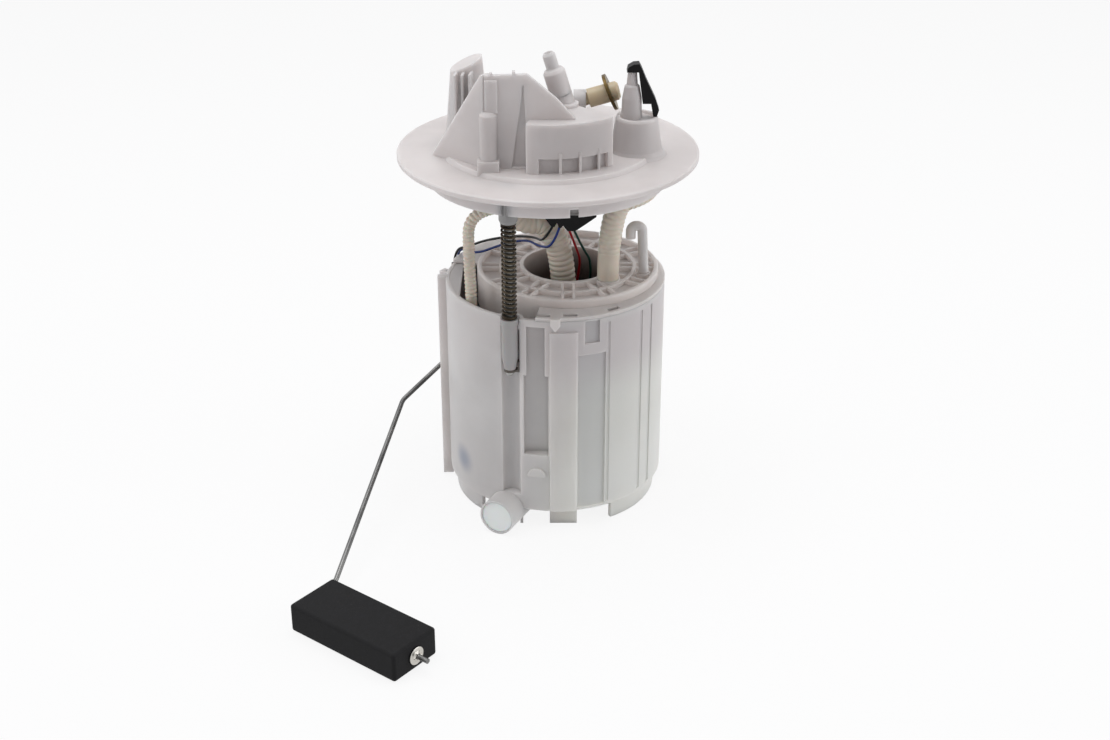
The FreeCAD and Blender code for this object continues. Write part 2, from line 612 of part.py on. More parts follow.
# Two guide rods with their sockets, springs, bushes and end stops.
for end in ("front", "rear"):
    at_rod = (f"rod_{end}_x", f"rod_{end}_y", "0")
    node(f"rod_socket_{end}", turned(f"rod_socket_{end}", [
        ("rod_radius + rod_fit", "socket_bottom"),
        ("socket_radius - 0.7", "socket_bottom"),
        ("socket_radius", "socket_bottom + 1.6"),
        ("socket_radius", "seat_step - rod_fit"),
        ("rod_radius + rod_fit", "seat_step - rod_fit"),
    ], *at_rod))
    node(f"guide_rod_{end}", turned(f"guide_rod_{end}", [
        ("0", "rod_end"),
        ("rod_radius - 0.8", "rod_end"),
        ("rod_radius", "rod_end + 1.2"),
        ("rod_radius", "1.7"),
        ("0", "1.7"),
    ], *at_rod))
    spring_low = "bowl_top + spring_play"
    spring_span = "(socket_bottom - bowl_top - 2 * spring_play)"
    turns = int(size("spring_ridges"))
    coils = []
    for turn in range(turns):
        coils.append(("spring_radius", f"{spring_low} + {spring_span} * {turn} / spring_ridges"))
        coils.append(("spring_radius - spring_wire / 2",
                      f"{spring_low} + {spring_span} * ({turn} + 0.6) / spring_ridges"))
    node(f"spring_{end}", turned(f"spring_{end}", [
        ("spring_radius - spring_wire", spring_low),
        *coils,
        ("spring_radius", f"{spring_low} + {spring_span}"),
        ("spring_radius - spring_wire", f"{spring_low} + {spring_span}"),
    ], *at_rod))
    node(f"rod_bush_{end}", turned(f"rod_bush_{end}", [
        ("rod_radius + rod_fit", "bush_end"),
        ("bush_tip", "bush_end"),
        ("bush_radius", "bush_end + bush_taper"),
        ("bush_radius", "bowl_top - bush_collar_thick"),
        ("bush_collar", "bowl_top - bush_collar_thick"),
        ("bush_collar", "bowl_top"),
        ("rod_radius + rod_fit", "bowl_top"),
    ], *at_rod))
    stop_ring = turned(f"stop_ring_{end}", [
        ("rod_radius + rod_fit", "bush_end - stop_play - stop_thick"),
        ("stop_radius", "bush_end - stop_play - stop_thick"),
        ("stop_radius", "bush_end - stop_play"),
        ("rod_radius + rod_fit", "bush_end - stop_play"),
    ], *at_rod)
    stop_tab = block(f"stop_tab_{end}", "stop_tab_out - stop_tab_in", "stop_tab_wide",
                     "stop_thick + stop_play + stop_tab_rise", f"rod_{end}_x + stop_tab_in",
                     f"rod_{end}_y - stop_tab_wide / 2", "bush_end - stop_play - stop_thick")
    stop_arm = block(f"stop_arm_{end}", "stop_tab_out - stop_arm_in", "stop_tab_wide", "stop_thick",
                     f"rod_{end}_x + stop_arm_in", f"rod_{end}_y - stop_tab_wide / 2",
                     "bush_end - stop_play - stop_thick")
    node(f"rod_stop_{end}", fused(f"rod_stop_{end}", [stop_ring, stop_arm, stop_tab]))


# Reservoir bowl: wall, floor, rod niches, recesses, feet, sender rails and inlet stub in one.
def about_bowl(name, radius, low, high, start="0", sweep="360"):
    """A cylinder, or a slice of one, about the bowl's axis."""
    return cylinder(name, radius, f"{high} - ({low})", "bowl_x", "0", low, turn=start, sweep=sweep)


def envelope(name, thing, radius="bowl_radius"):
    return shared(name, thing, about_bowl(name + "_round", radius, "-stand_drop", "bowl_top"))


bowl_shell = turned("bowl_shell", [
    ("0", "bowl_bottom"),
    ("bowl_radius - 1.2", "bowl_bottom"),
    ("bowl_radius", "bowl_bottom + 1.2"),
    ("bowl_radius", "bowl_top - 0.5"),
    ("bowl_radius - 0.5", "bowl_top"),
    ("bowl_radius - bowl_wall", "bowl_top"),
    ("bowl_radius - bowl_wall", "bowl_bottom + bowl_floor"),
    ("0", "bowl_bottom + bowl_floor"),
], "bowl_x")
niche_walls, niche_cuts, niche_ledges = [], [], []
for end in ("front", "rear"):
    at_rod = (f"rod_{end}_x", f"rod_{end}_y")
    niche_walls.append(cylinder(f"niche_{end}", "niche_radius + niche_wall",
                                "bowl_top - niche_bottom + niche_wall", *at_rod,
                                "niche_bottom - niche_wall"))
    niche_cuts.append(cylinder(f"niche_cut_{end}", "niche_radius", "bowl_top - niche_bottom + 1",
                               *at_rod, "niche_bottom"))
    ledge_low = "bowl_top - bush_collar_thick - ledge_thick"
    ring = cylinder(f"ledge_{end}", "niche_radius + 0.5", "ledge_thick", *at_rod, ledge_low)
    hole = cylinder(f"ledge_hole_{end}", "bush_radius + 0.15", "ledge_thick + 2", *at_rod,
                    f"{ledge_low} - 1")
    niche_ledges.append(envelope(f"niche_ledge_{end}", less(f"ledge_ring_{end}", ring, [hole])))
slot_floor_y = "-bowl_radius + slot_depth"
slot_back = block("slot_back", "slot_wide_right - slot_wide_left + 3.6", "slot_depth + 1.8",
                  "slot_top - slot_bottom + 3.6", "slot_wide_left - 1.8", "-bowl_radius",
                  "slot_bottom - 1.8")
slot_narrow = block("slot_narrow", "slot_right - slot_left", "slot_depth + 5",
                    "slot_top - slot_knee + 1", "slot_left", f"{slot_floor_y} - slot_depth - 5",
                    "slot_knee - 1")
slot_broad = block("slot_broad", "slot_wide_right - slot_wide_left", "slot_depth + 5",
                   "slot_knee - slot_bottom", "slot_wide_left",
                   f"{slot_floor_y} - slot_depth - 5", "slot_bottom")


def on_wall(name, left, right, low, high, inner, outer):
    """A patch of the bowl's front wall between two radii."""
    front = block(name + "_block", f"{right} - ({left})", "bowl_radius", f"{high} - ({low})", left,
                  "-bowl_radius - 5", low)
    skin = less(name + "_skin", about_bowl(name + "_out", outer, "-stand_drop", "bowl_top"),
                [about_bowl(name + "_in", inner, "-stand_drop - 1", "bowl_top + 1")])
    return shared(name, skin, front)


panel = on_wall("panel", "panel_left", "panel_right", "bowl_bottom + 1", "panel_top",
                "bowl_radius - 1", "bowl_radius + panel_proud")
latch_recess = on_wall("latch_recess", "latch_left", "latch_right", "bowl_bottom + 2", "latch_top",
                       "bowl_radius - latch_depth", "bowl_radius + 3")
wall_grooves = [
    on_wall(f"wall_groove_{n}", f"{along} - groove_wide / 2", f"{along} + groove_wide / 2",
            "bowl_bottom + 3", "bowl_top - 3", "bowl_radius - groove_depth", "bowl_radius + 3")
    for n, along in enumerate((30, 46.4, 51.4))
]
latch_window = on_wall("latch_window", "window_left", "window_right", "window_bottom",
                       "window_top", "bowl_radius - window_depth", "bowl_radius + 3")
inner_ledge = shared("inner_ledge", block("ledge_block", "bowl_radius", "2 * bowl_radius",
                                          "ledge_plate", "ledge_x - bowl_radius",
                                          "-bowl_radius", "bowl_top - 0.3 - ledge_plate"),
                     about_bowl("ledge_round", "bowl_radius - bowl_wall / 2", "bowl_bottom",
                                "bowl_top"))
button_round = cylinder("button_round", "button_radius", "10", "button_x", "-bowl_radius + 7",
                        "button_z", (1, 0, 0), "90")
button = less("button", envelope("button_trim", button_round, "bowl_radius + button_proud"),
              [block("button_under", "20", "20", "10", "button_x - 10", "-bowl_radius - 5",
                     "button_z - 10")])
foot = block("foot", "panel_right - panel_left", "foot_deep", "stand_drop + bowl_bottom + 0.5",
             "panel_left", "-foot_front", "-stand_drop")
spike = block("spike", "spike_wide", "foot_deep - 2", "stand_drop + bowl_bottom + 0.5",
              "spike_x - spike_wide / 2", "-foot_front", "-stand_drop")
skirts = []
for n, (start, sweep) in enumerate((("-57", "52"), ("172", "52"), ("25", "120"))):
    outer = about_bowl(f"skirt_out_{n}", "skirt_radius", "-stand_drop", "bowl_bottom + 0.5",
                       start, sweep)
    inner = about_bowl(f"skirt_in_{n}", "skirt_radius - skirt_wall", "-stand_drop - 1",
                       "bowl_bottom + 1", start, sweep)
    skirts.append(less(f"skirt_{n}", outer, [inner]))
side_rail = block("side_rail", "bowl_x - bowl_radius + 1 - rail_x", "rail_thick",
                  "bowl_top + stand_drop - 2", "rail_x", "-rail_thick / 2", "-stand_drop + 2")
nest = cylinder("nest", "nest_radius", "nest_tall", "nest_x", "nest_y", "nest_top - nest_tall")
nest_spigot = cylinder("nest_spigot", "small_hose_bore - spigot_play", "spigot_long", "nest_x",
                       "nest_y", "nest_top - 1")


def sender_place(thing, along, out, height, axis=(0, 0, 1), turn="sender_turn"):
    """Place in the sender's own frame: along the tangent, out from the flange axis, height."""
    return put(thing, f"({along}) * cos(sender_turn) - ({out}) * sin(sender_turn)",
               f"({along}) * sin(sender_turn) + ({out}) * cos(sender_turn)", height, axis, turn)


def sender_block(name, long, deep, tall, along, out, height):
    return sender_place(block(name, long, deep, tall), along, out, height)


OUTWARD = ("-cos(sender_turn)", "-sin(sender_turn)", "0")
PIVOT_AXIS = ("-sin(sender_turn)", "cos(sender_turn)", "0")


def sender_disc(name, radius, thick, along, out, height):
    """A cylinder whose axis is the pivot's."""
    return sender_place(cylinder(name, radius, thick), along, out, height, OUTWARD, "90")


plate_low = "sender_face - sender_thick"
sender_rails = []
for name, edge in (("left", "-rail_half"), ("right", "sender_half + rail_play - rail_wall")):
    rail = sender_block(f"rail_{name}", "rail_half - sender_half - rail_play + rail_wall",
                        "rail_lip - 46", "sender_top - sender_bottom + rail_wall", edge, "46",
                        "sender_bottom - rail_wall")
    sender_rails.append(rail)
rail_groove = sender_block("rail_groove", "2 * (sender_half + rail_play)",
                           "sender_thick + 2 * rail_play", "sender_top - sender_bottom + 5",
                           "-sender_half - rail_play", f"{plate_low} - rail_play",
                           "sender_bottom - rail_play")
rails = less("sender_rails", fused("rail_pair", sender_rails), [
    rail_groove, about_bowl("rail_trim", "bowl_radius - bowl_wall / 2", "-stand_drop", "0")])
stub_axis = ("cos(stub_turn)", "sin(stub_turn)", "0")


def stub_bar(name, radius, near, far):
    """A cylinder about the stub's axis between two distances from the bowl's axis."""
    return cylinder(name, radius, f"{far} - ({near})", f"bowl_x + ({near}) * sin(stub_turn)",
                    f"-({near}) * cos(stub_turn)", "stub_z", stub_axis, "90")


stub = stub_bar("stub", "stub_radius", "stub_root", "stub_reach")
stub_bore = stub_bar("stub_bore", "stub_radius - stub_wall - stub_ledge", "stub_root + 2",
                     "stub_reach + 1")
stub_mouth = stub_bar("stub_mouth", "stub_radius - stub_wall",
                      "stub_reach - stub_disc_thick - 0.6", "stub_reach + 1")
jet_z = "bowl_bottom + bowl_floor + jet_radius"
jet_hole = cylinder("jet_hole", "jet_radius + fit", "8", "bowl_x + (stub_root - 4) * sin(stub_turn)",
                    "-(stub_root - 4) * cos(stub_turn)", jet_z, stub_axis, "90")
valve_hole = cylinder("valve_hole", "valve_seat", "bowl_floor + 2", "valve_x", "valve_y",
                      "bowl_bottom - 1")
spider = fused("spider", [
    cylinder("spider_hub", "spider_hub", "bowl_floor", "valve_x", "valve_y", "bowl_bottom"),
    block("spider_bar", "2 * valve_seat + 2", "spider_wide", "bowl_floor",
          "valve_x - valve_seat - 1", "valve_y - spider_wide / 2", "bowl_bottom"),
    block("spider_cross", "spider_wide", "2 * valve_seat + 2", "bowl_floor",
          "valve_x - spider_wide / 2", "valve_y - valve_seat - 1", "bowl_bottom"),
])
spider_open = less("spider_open", spider, [
    cylinder("spider_bore", "valve_stem + pin_play", "bowl_floor + 2", "valve_x", "valve_y",
             "bowl_bottom - 1")])
cradle_ring = less("cradle_ring", cylinder("cradle_out", "can_radius + fit + cradle_wall",
                                           "cradle_top - bowl_bottom - 1", "cap_x", "cap_y",
                                           "bowl_bottom + 1"),
                   [cylinder("cradle_in", "can_radius + fit", "cradle_top - bowl_bottom",
                             "cap_x", "cap_y", "bowl_bottom")])
cradle_shelf = less("cradle_shelf", cylinder("shelf_out", "can_radius + fit + 0.5", "cradle_ledge",
                                             "cap_x", "cap_y", "can_bottom - cradle_ledge"),
                    [cylinder("shelf_in", "can_radius - 1.8", "cradle_ledge + 2", "cap_x", "cap_y",
                              "can_bottom - cradle_ledge - 1")])
cradle_cross = [
    block(f"cradle_cross_{n}", "2 * can_radius + 10", "cradle_wide", "60", "cap_x", "cap_y",
          "bowl_bottom", turn=f"{90 * n + 45}")
    for n in range(4)
]
cradle = shared("cradle", fused("cradle_whole", [cradle_ring, cradle_shelf]),
                fused("cradle_keep", cradle_cross))
bowl_solid = fused("bowl_solid", [
    bowl_shell, *[envelope(f"niche_trim_{n}", wall) for n, wall in enumerate(niche_walls)],
    envelope("slot_trim", slot_back), panel, button, foot, spike, *skirts, side_rail, nest,
    nest_spigot, rails, stub, cradle, inner_ledge,
])
bowl_open = less("bowl_open", bowl_solid, [
    *niche_cuts, slot_narrow, slot_broad, latch_recess, latch_window, *wall_grooves, stub_bore,
    stub_mouth, valve_hole, jet_hole,
])
node("reservoir", fused("reservoir", [bowl_open, *niche_ledges, spider_open]))
node("stub_disc", stub_bar("stub_disc", "stub_radius - stub_wall - stub_play",
                           "stub_reach - stub_disc_thick - 0.5", "stub_reach - 0.5"))

# Reservoir cap: ribbed ring with the pump's collar, and a deck that lies on the bowl's rim.
cap_floor = "cap_top - cap_recess"
cap_body = turned("cap_body", [
    ("cap_hole - collar_lip", "collar_bottom - 1.5"),
    ("cap_hole + collar_wall", "collar_bottom - 1.5"),
    ("cap_hole + collar_wall", f"{cap_floor} - cap_plate"),
    ("cap_radius - cap_rim", f"{cap_floor} - cap_plate"),
    ("cap_radius - cap_rim", "cap_skirt_bottom"),
    ("cap_radius", "cap_skirt_bottom"),
    ("cap_radius", "cap_top - 0.6"),
    ("cap_radius - 0.6", "cap_top"),
    ("cap_radius - cap_rim", "cap_top"),
    ("cap_radius - cap_rim", cap_floor),
    ("cap_mid_radius + cap_mid_wall", cap_floor),
    ("cap_mid_radius + cap_mid_wall", "cap_top - 0.6"),
    ("cap_mid_radius", "cap_top - 0.6"),
    ("cap_mid_radius", cap_floor),
    ("cap_hole + collar_wall", cap_floor),
    ("cap_hole + collar_wall", "cap_top"),
    ("cap_hole", "cap_top"),
    ("cap_hole", "collar_bottom"),
    ("cap_hole - collar_lip", "collar_bottom"),
], "cap_x", "cap_y")
rib_pads = []
for side in ("1", "-1"):
    near = f"{side} * cap_rib_gap / 2"
    far = f"{side} * (cap_rib_gap / 2 + cap_rib)"
    rib_sketch = outline(cap_body, "XY_Plane", f"cap_rib_sketch_{len(rib_pads)}", [
        ("cap_hole + collar_wall - 0.3", near),
        ("cap_radius - cap_rim + 0.3", near),
        ("cap_radius - cap_rim + 0.3", far),
        ("cap_hole + collar_wall - 0.3", far),
    ], f"{cap_floor} - 0.5")
    rib = cap_body.newObject("PartDesign::Pad", f"cap_rib_{len(rib_pads)}")
    rib.Profile = rib_sketch
    rib.setExpression("Length", tied("cap_recess - 0.3"))
    rib_pads.append(rib)
rib_ring = cap_body.newObject("PartDesign::PolarPattern", "cap_rib_ring")
rib_ring.Originals = rib_pads
rib_ring.Axis = (rib_sketch, ["N_Axis"])
rib_ring.Angle = 360
rib_ring.setExpression("Occurrences", tied("cap_rib_pairs"))
cap_body.Tip = rib_ring
deck = less("deck", about_bowl("deck_round", "bowl_radius", "bowl_top", "bowl_top + deck_thick",
                               "deck_start", "deck_sweep"),
            [cylinder("deck_hole", "cap_radius - deck_lap", "deck_thick + 2", "cap_x", "cap_y",
                      "bowl_top - 1")])
tab = plate("tab", [
    ("tab_x - tab_wide / 2", "bowl_top + deck_thick"),
    ("tab_x + tab_wide / 2", "bowl_top + deck_thick"),
    ("tab_x + tab_wide / 2", "bowl_top - tab_drop / 3"),
    ("tab_x", "bowl_top - tab_drop"),
    ("tab_x - tab_wide / 2", "bowl_top - tab_drop / 3"),
], "tab_thick", "0", "-bowl_radius - tab_thick / 2 - 0.15")
tab_root = block("tab_root", "tab_wide", "3", "deck_thick", "tab_x - tab_wide / 2",
                 "-bowl_radius - tab_thick / 2 - 0.2", "bowl_top")
slits = [
    block(f"slit_{n}", "slit_long", "slit_wide", "deck_thick + 2", along, across, "bowl_top - 1",
          turn=turn)
    for n, (along, across, turn) in enumerate((("7.5", "-53.6", "2"), ("30", "-47.2", "31"),
                                               ("-6", "-53.4", "-8")))
]
return_boss = cylinder("return_boss", "return_boss", "cap_recess + 1", "return_x", "return_y",
                       f"{cap_floor} - 1")
cap_return = cylinder("cap_return_spigot", "return_hose_bore - spigot_play", "spigot_long",
                      "return_x", "return_y", "cap_top - 0.5")
spout_boss = cylinder("spout_boss", "spout_boss", "cap_recess + 1", "spout_x", "spout_y",
                      f"{cap_floor} - 1")
rear_notch = cylinder("rear_notch", "niche_radius + niche_wall + 0.3", "30", "rod_rear_x",
                      "rod_rear_y", "cap_skirt_bottom - 5")
cap_solid = fused("cap_solid", [cap_body, deck, tab, tab_root, return_boss, cap_return, spout_boss])
node("reservoir_cap", less("reservoir_cap", cap_solid, [rear_notch, *slits]))

spout_x, spout_y = size("spout_x"), size("spout_y")
spout_top = size("cap_top") + size("spout_rise")
node("hook_spout", pipe("hook_spout", [
    (spout_x, spout_y, size("cap_top") + size("spout_seat")),
    (spout_x - size("spout_lean"), spout_y, spout_top),
    (spout_x - size("spout_over"), spout_y, spout_top),
    (spout_x - size("spout_over"), spout_y, spout_top - size("spout_drop")),
], size("spout_radius"), size("spout_bore")))

# Electric pump: steel can, end pieces, magnets and brushes.
PUMP = ("cap_x", "cap_y")
inner_wall = "can_radius - can_wall"
node("pump_can", turned("pump_can", [
    (f"{inner_wall} - can_lip", "can_bottom"),
    ("can_radius - 0.5", "can_bottom"),
    ("can_radius", "can_bottom + 0.5"),
    ("can_radius", "can_top - 0.5"),
    ("can_radius - 0.5", "can_top"),
    (f"{inner_wall} - can_lip", "can_top"),
    (f"{inner_wall} - can_lip", "can_top - can_wall"),
    (inner_wall, "can_top - can_wall"),
    (inner_wall, "can_bottom + can_wall"),
    (f"{inner_wall} - can_lip", "can_bottom + can_wall"),
], *PUMP))
cover_body = turned("cover_body", [
    ("shaft_radius + shaft_play", "cover_bottom"),
    (f"{inner_wall} - fit", "cover_bottom"),
    (f"{inner_wall} - fit", "can_top - can_wall - fit"),
    (f"{inner_wall} - can_lip - fit", "can_top - can_wall - fit"),
    (f"{inner_wall} - can_lip - fit", "cover_top"),
    ("0", "cover_top"),
    ("0", "shaft_top + fit"),
    ("shaft_radius + shaft_play", "shaft_top + fit"),
], *PUMP)
outlet_at = ("cap_x + outlet_x", "cap_y + outlet_y")
cover_outlet = cylinder("cover_outlet", "outlet_radius", "outlet_top - cover_top + 1", *outlet_at,
                        "cover_top - 1")
outlet_hole = cylinder("outlet_hole", "outlet_bore", "outlet_top - cover_bottom + 2", *outlet_at,
                       "cover_bottom - 1")
brush_low = "(commutator_top + commutator_bottom) / 2 - brush_wide / 2"
brush_near = "commutator_radius + brush_play"
holders, holder_cuts, brush_blocks = [], [], []
for turn in ("0", "180"):
    holders.append(block(f"brush_holder_{turn}", "brush_long",
                         "brush_wide + 2 * brush_play + 2 * brush_wall",
                         f"cover_bottom - ({brush_low}) + brush_play + brush_wall"))
    holder_cuts.append(block(f"brush_channel_{turn}", "brush_long + 6",
                             "brush_wide + 2 * brush_play", "brush_wide + 2 * brush_play"))
    brush_blocks.append(block(f"brush_{turn}", "brush_long", "brush_wide", "brush_wide"))
    for thing, near, half, low in (
            (holders[-1], f"({brush_near} + 0.8)", "(brush_wide / 2 + brush_play + brush_wall)",
             f"{brush_low} - brush_play - brush_wall"),
            (holder_cuts[-1], f"({brush_near} - 1)", "(brush_wide / 2 + brush_play)",
             f"{brush_low} - brush_play"),
            (brush_blocks[-1], f"({brush_near})", "(brush_wide / 2)", brush_low)):
        put(thing, f"cap_x + {near} * cos({turn}) + {half} * sin({turn})",
            f"cap_y + {near} * sin({turn}) - {half} * cos({turn})", low, (0, 0, 1), turn)
node("pump_outlet_cover", less("pump_outlet_cover",
                               fused("cover_solid", [cover_body, cover_outlet, *holders]),
                               [outlet_hole, *holder_cuts]))
node("brushes", fused("brushes", brush_blocks))
inlet_body = turned("inlet_body", [
    ("0", "can_bottom + can_wall"),
    (f"{inner_wall} - fit", "can_bottom + can_wall"),
    (f"{inner_wall} - fit", "inlet_top"),
    ("shaft_radius + shaft_play", "inlet_top"),
    ("shaft_radius + shaft_play", "inlet_top - bearing_deep"),
    ("0", "inlet_top - bearing_deep"),
], *PUMP)
nozzle_at = ("cap_x + nozzle_x", "cap_y + nozzle_y")
inlet_nozzle = cylinder("inlet_nozzle", "nozzle_radius", "can_bottom - nozzle_end + 2", *nozzle_at,
                        "nozzle_end")
inlet_hole = cylinder("inlet_hole", "nozzle_bore", "inlet_top - nozzle_end + 2", *nozzle_at,
                      "nozzle_end - 1")
node("pump_inlet_plate", less("pump_inlet_plate",
                              fused("inlet_solid", [inlet_body, inlet_nozzle]), [inlet_hole]))
node("chamber_plate", turned("chamber_plate", [
    ("shaft_radius + shaft_play", "chamber_bottom"),
    ("impeller_radius + impeller_play", "chamber_bottom"),
    ("impeller_radius + impeller_play", "inlet_top"),
    (f"{inner_wall} - fit", "inlet_top"),
    (f"{inner_wall} - fit", "chamber_top"),
    ("shaft_radius + shaft_play", "chamber_top"),
], *PUMP))
magnet_arcs = []
for n, start in enumerate(("-magnet_sweep / 2 + 90", "-magnet_sweep / 2 + 270")):
    outer = cylinder(f"magnet_out_{n}", f"{inner_wall} - fit", "armature_top - armature_bottom + 4",
                     *PUMP, "armature_bottom - 2", turn=start, sweep="magnet_sweep")
    inner = cylinder(f"magnet_in_{n}", "magnet_inner", "armature_top - armature_bottom + 6", *PUMP,
                     "armature_bottom - 3")
    magnet_arcs.append(less(f"magnet_{n}", outer, [inner]))
node("magnets", fused("magnets", magnet_arcs))
node("pump_sleeve", turned("pump_sleeve", [
    ("can_radius + fit", "sleeve_bottom"),
    ("cap_hole - collar_lip - fit", "sleeve_bottom"),
    ("cap_hole - collar_lip - fit", "collar_bottom + fit"),
    ("cap_hole - fit", "collar_bottom + fit"),
    ("cap_hole - fit", "sleeve_top"),
    (f"{inner_wall} - can_lip + fit", "sleeve_top"),
    (f"{inner_wall} - can_lip + fit", "can_top + fit"),
    ("can_radius + fit", "can_top + fit"),
], *PUMP))
sock = turned("sock", [
    ("0", "-strainer_thick"),
    ("strainer_flat", "-strainer_thick"),
    ("strainer_radius", "-strainer_edge"),
    ("strainer_radius", "strainer_edge"),
    ("strainer_flat", "strainer_thick"),
    ("0", "strainer_thick"),
], *PUMP, "strainer_z")
sock_collar = cylinder("sock_collar", "nozzle_radius + fit + 1.2", "can_bottom - 2 - nozzle_end",
                       *nozzle_at, "nozzle_end")
sock_hole = cylinder("sock_hole", "nozzle_radius + fit", "20", *nozzle_at, "nozzle_end - fit")
node("strainer", less("strainer", fused("sock_solid", [sock, sock_collar]), [sock_hole]))


# Rotor of the pump: shaft, slotted armature, commutator and vaned impeller.
def slotted(name, radius, low, high, deep, wide, count):
    """A disc on the shaft with slots round its rim."""
    body = turned(name, [
        ("shaft_radius + shaft_play", low),
        (radius, low),
        (radius, high),
        ("shaft_radius + shaft_play", high),
    ], *PUMP)
    sketch = outline(body, "XY_Plane", name + "_slot_sketch", [
        (f"{radius} - {deep}", f"-{wide} / 2"),
        (f"{radius} + 1", f"-{wide} / 2"),
        (f"{radius} + 1", f"{wide} / 2"),
        (f"{radius} - {deep}", f"{wide} / 2"),
    ], f"{high} + 1")
    slot = body.newObject("PartDesign::Pocket", name + "_slot")
    slot.Profile = sketch
    slot.setExpression("Length", tied(f"{high} - ({low}) + 2"))
    ring = body.newObject("PartDesign::PolarPattern", name + "_slots")
    ring.Originals = [slot]
    ring.Axis = (sketch, ["N_Axis"])
    ring.Angle = 360
    ring.setExpression("Occurrences", tied(count))
    body.Tip = ring
    return body


node("rotor_shaft", cylinder("rotor_shaft", "shaft_radius", "shaft_top - inlet_top + bearing_deep - fit",
                             *PUMP, "inlet_top - bearing_deep + fit"))
node("armature", slotted("armature", "armature_radius", "armature_bottom", "armature_top",
                         "slot_in", "slot_wide", "armature_slots"))
node("commutator", slotted("commutator", "commutator_radius", "commutator_bottom",
                           "commutator_top", "1", "0.5", "2 * armature_slots"))
node("impeller", slotted("impeller", "impeller_radius", "inlet_top + impeller_play",
                         "inlet_top + impeller_play + impeller_thick", "vane_deep", "vane_wide",
                         "vanes"))

# Foot valve in the floor of the bowl, and the jet that drives fuel in through the stub.
button_top = "bowl_bottom - valve_lift - valve_play"
node("foot_valve", turned("foot_valve", [
    ("0", f"{button_top} - valve_button_thick"),
    ("valve_button - 0.6", f"{button_top} - valve_button_thick"),
    ("valve_button", button_top),
    ("valve_stem", button_top),
    ("valve_stem", "bowl_bottom + bowl_floor"),
    ("valve_radius", "bowl_bottom + bowl_floor"),
    ("valve_radius - 0.5", "bowl_bottom + bowl_floor + valve_thick"),
    ("0", "bowl_bottom + bowl_floor + valve_thick"),
], "valve_x", "valve_y"))


def jet_bar(name, radius, near, far):
    return cylinder(name, radius, f"{far} - ({near})", f"bowl_x + ({near}) * sin(stub_turn)",
                    f"-({near}) * cos(stub_turn)", jet_z, stub_axis, "90")


jet_tube = jet_bar("jet_tube", "jet_radius", "jet_start", "jet_end")
jet_body = block("jet_body", "jet_body", "jet_body", "jet_body",
                 "bowl_x + jet_start * sin(stub_turn) - jet_body / 2 * cos(stub_turn)",
                 "-jet_start * cos(stub_turn) - jet_body / 2 * sin(stub_turn)",
                 "bowl_bottom + bowl_floor", turn="stub_turn")
node("jet_nozzle", less("jet_nozzle", fused("jet_solid", [jet_tube, jet_body]),
                        [jet_bar("jet_bore", "jet_bore", "jet_start - 9", "jet_end + 1")]))

# Hoses between the flange and the reservoir, whole lengths pushed over their spigots.
nest_x, nest_y, hose_line = size("nest_x"), size("nest_y"), size("hose_line")
small_y, small_start = size("small_port_y"), size("small_port_x") - size("small_start")
node("small_hose", pipe("small_hose", [
    (small_start, small_y, hose_line),
    (nest_x - size("small_swing"), small_y, hose_line),
    (nest_x - size("small_swing"), nest_y, size("small_upper")),
    (nest_x, nest_y, size("small_lower")),
    (nest_x, nest_y, size("nest_top") + 0.2),
], size("small_hose"), size("small_hose_bore")))
pump_port_x, pump_port_y = size("pump_port_x"), size("pump_port_y")
nipple_x, nipple_y = size("cap_x") + size("outlet_x"), size("cap_y") + size("outlet_y")
node("pump_hose", pipe("pump_hose", [
    (pump_port_x, pump_port_y, -5),
    (pump_port_x, pump_port_y, size("pump_line")),
    (nipple_x, nipple_y, size("pump_line")),
    (nipple_x, nipple_y, size("cover_top") + 0.2),
], size("pump_hose"), size("pump_hose_bore")))
return_x, return_y = size("return_x"), size("return_y")
corner_x, corner_y = size("return_port_x"), size("return_port_y")
return_line = size("return_line")
node("return_hose", pipe("return_hose", [
    (return_x, return_y, size("cap_top") + 0.2),
    (return_x, return_y, return_line),
    (return_x + size("return_side"), return_y + size("return_depth"),
     return_line + size("return_rise")),
    (corner_x + size("return_corner"), corner_y - size("return_corner"), hose_line),
    (corner_x + size("return_end"), corner_y - size("return_end"), hose_line),
], size("return_hose"), size("return_hose_bore")))

# Black inner plug on its stem below the flange.
plug_shell = plate("plug_shell", [
    ("-1.9", "-25.7"),
    ("4.5", "-25"),
    ("9.4", "-23.9"),
    ("18.8", "-23.9"),
    ("24", "-25.5"),
    ("18.3", "-29.7"),
    ("13.6", "-33"),
    ("9.6", "-33"),
    ("7.5", "-30.2"),
    ("6.6", "-31.3"),
    ("5.4", "-31.3"),
    ("4.5", "-28.7"),
    ("3.2", "-30.8"),
    ("1.8", "-30.8"),
], "plug_thick", y="plug_middle")
plug_stem = cylinder("plug_stem", "plug_stem", "recess_depth + 24.5", "plug_stem_x", "plug_middle",
                     "-24.5")
node("inner_plug", fused("inner_plug", [plug_shell, plug_stem]))

# Wires of the pump and of the level sender, loose between the plug and their terminals.
plug_y, wire = size("plug_middle"), size("wire_radius")
cover_z, plate_z = size("cover_top") + 0.55, size("sender_top") + 0.2
sender_angle = math.radians(size("sender_turn"))


def sender_point(along, out, height):
    return (along * math.cos(sender_angle) - out * math.sin(sender_angle),
            along * math.sin(sender_angle) + out * math.cos(sender_angle), height)


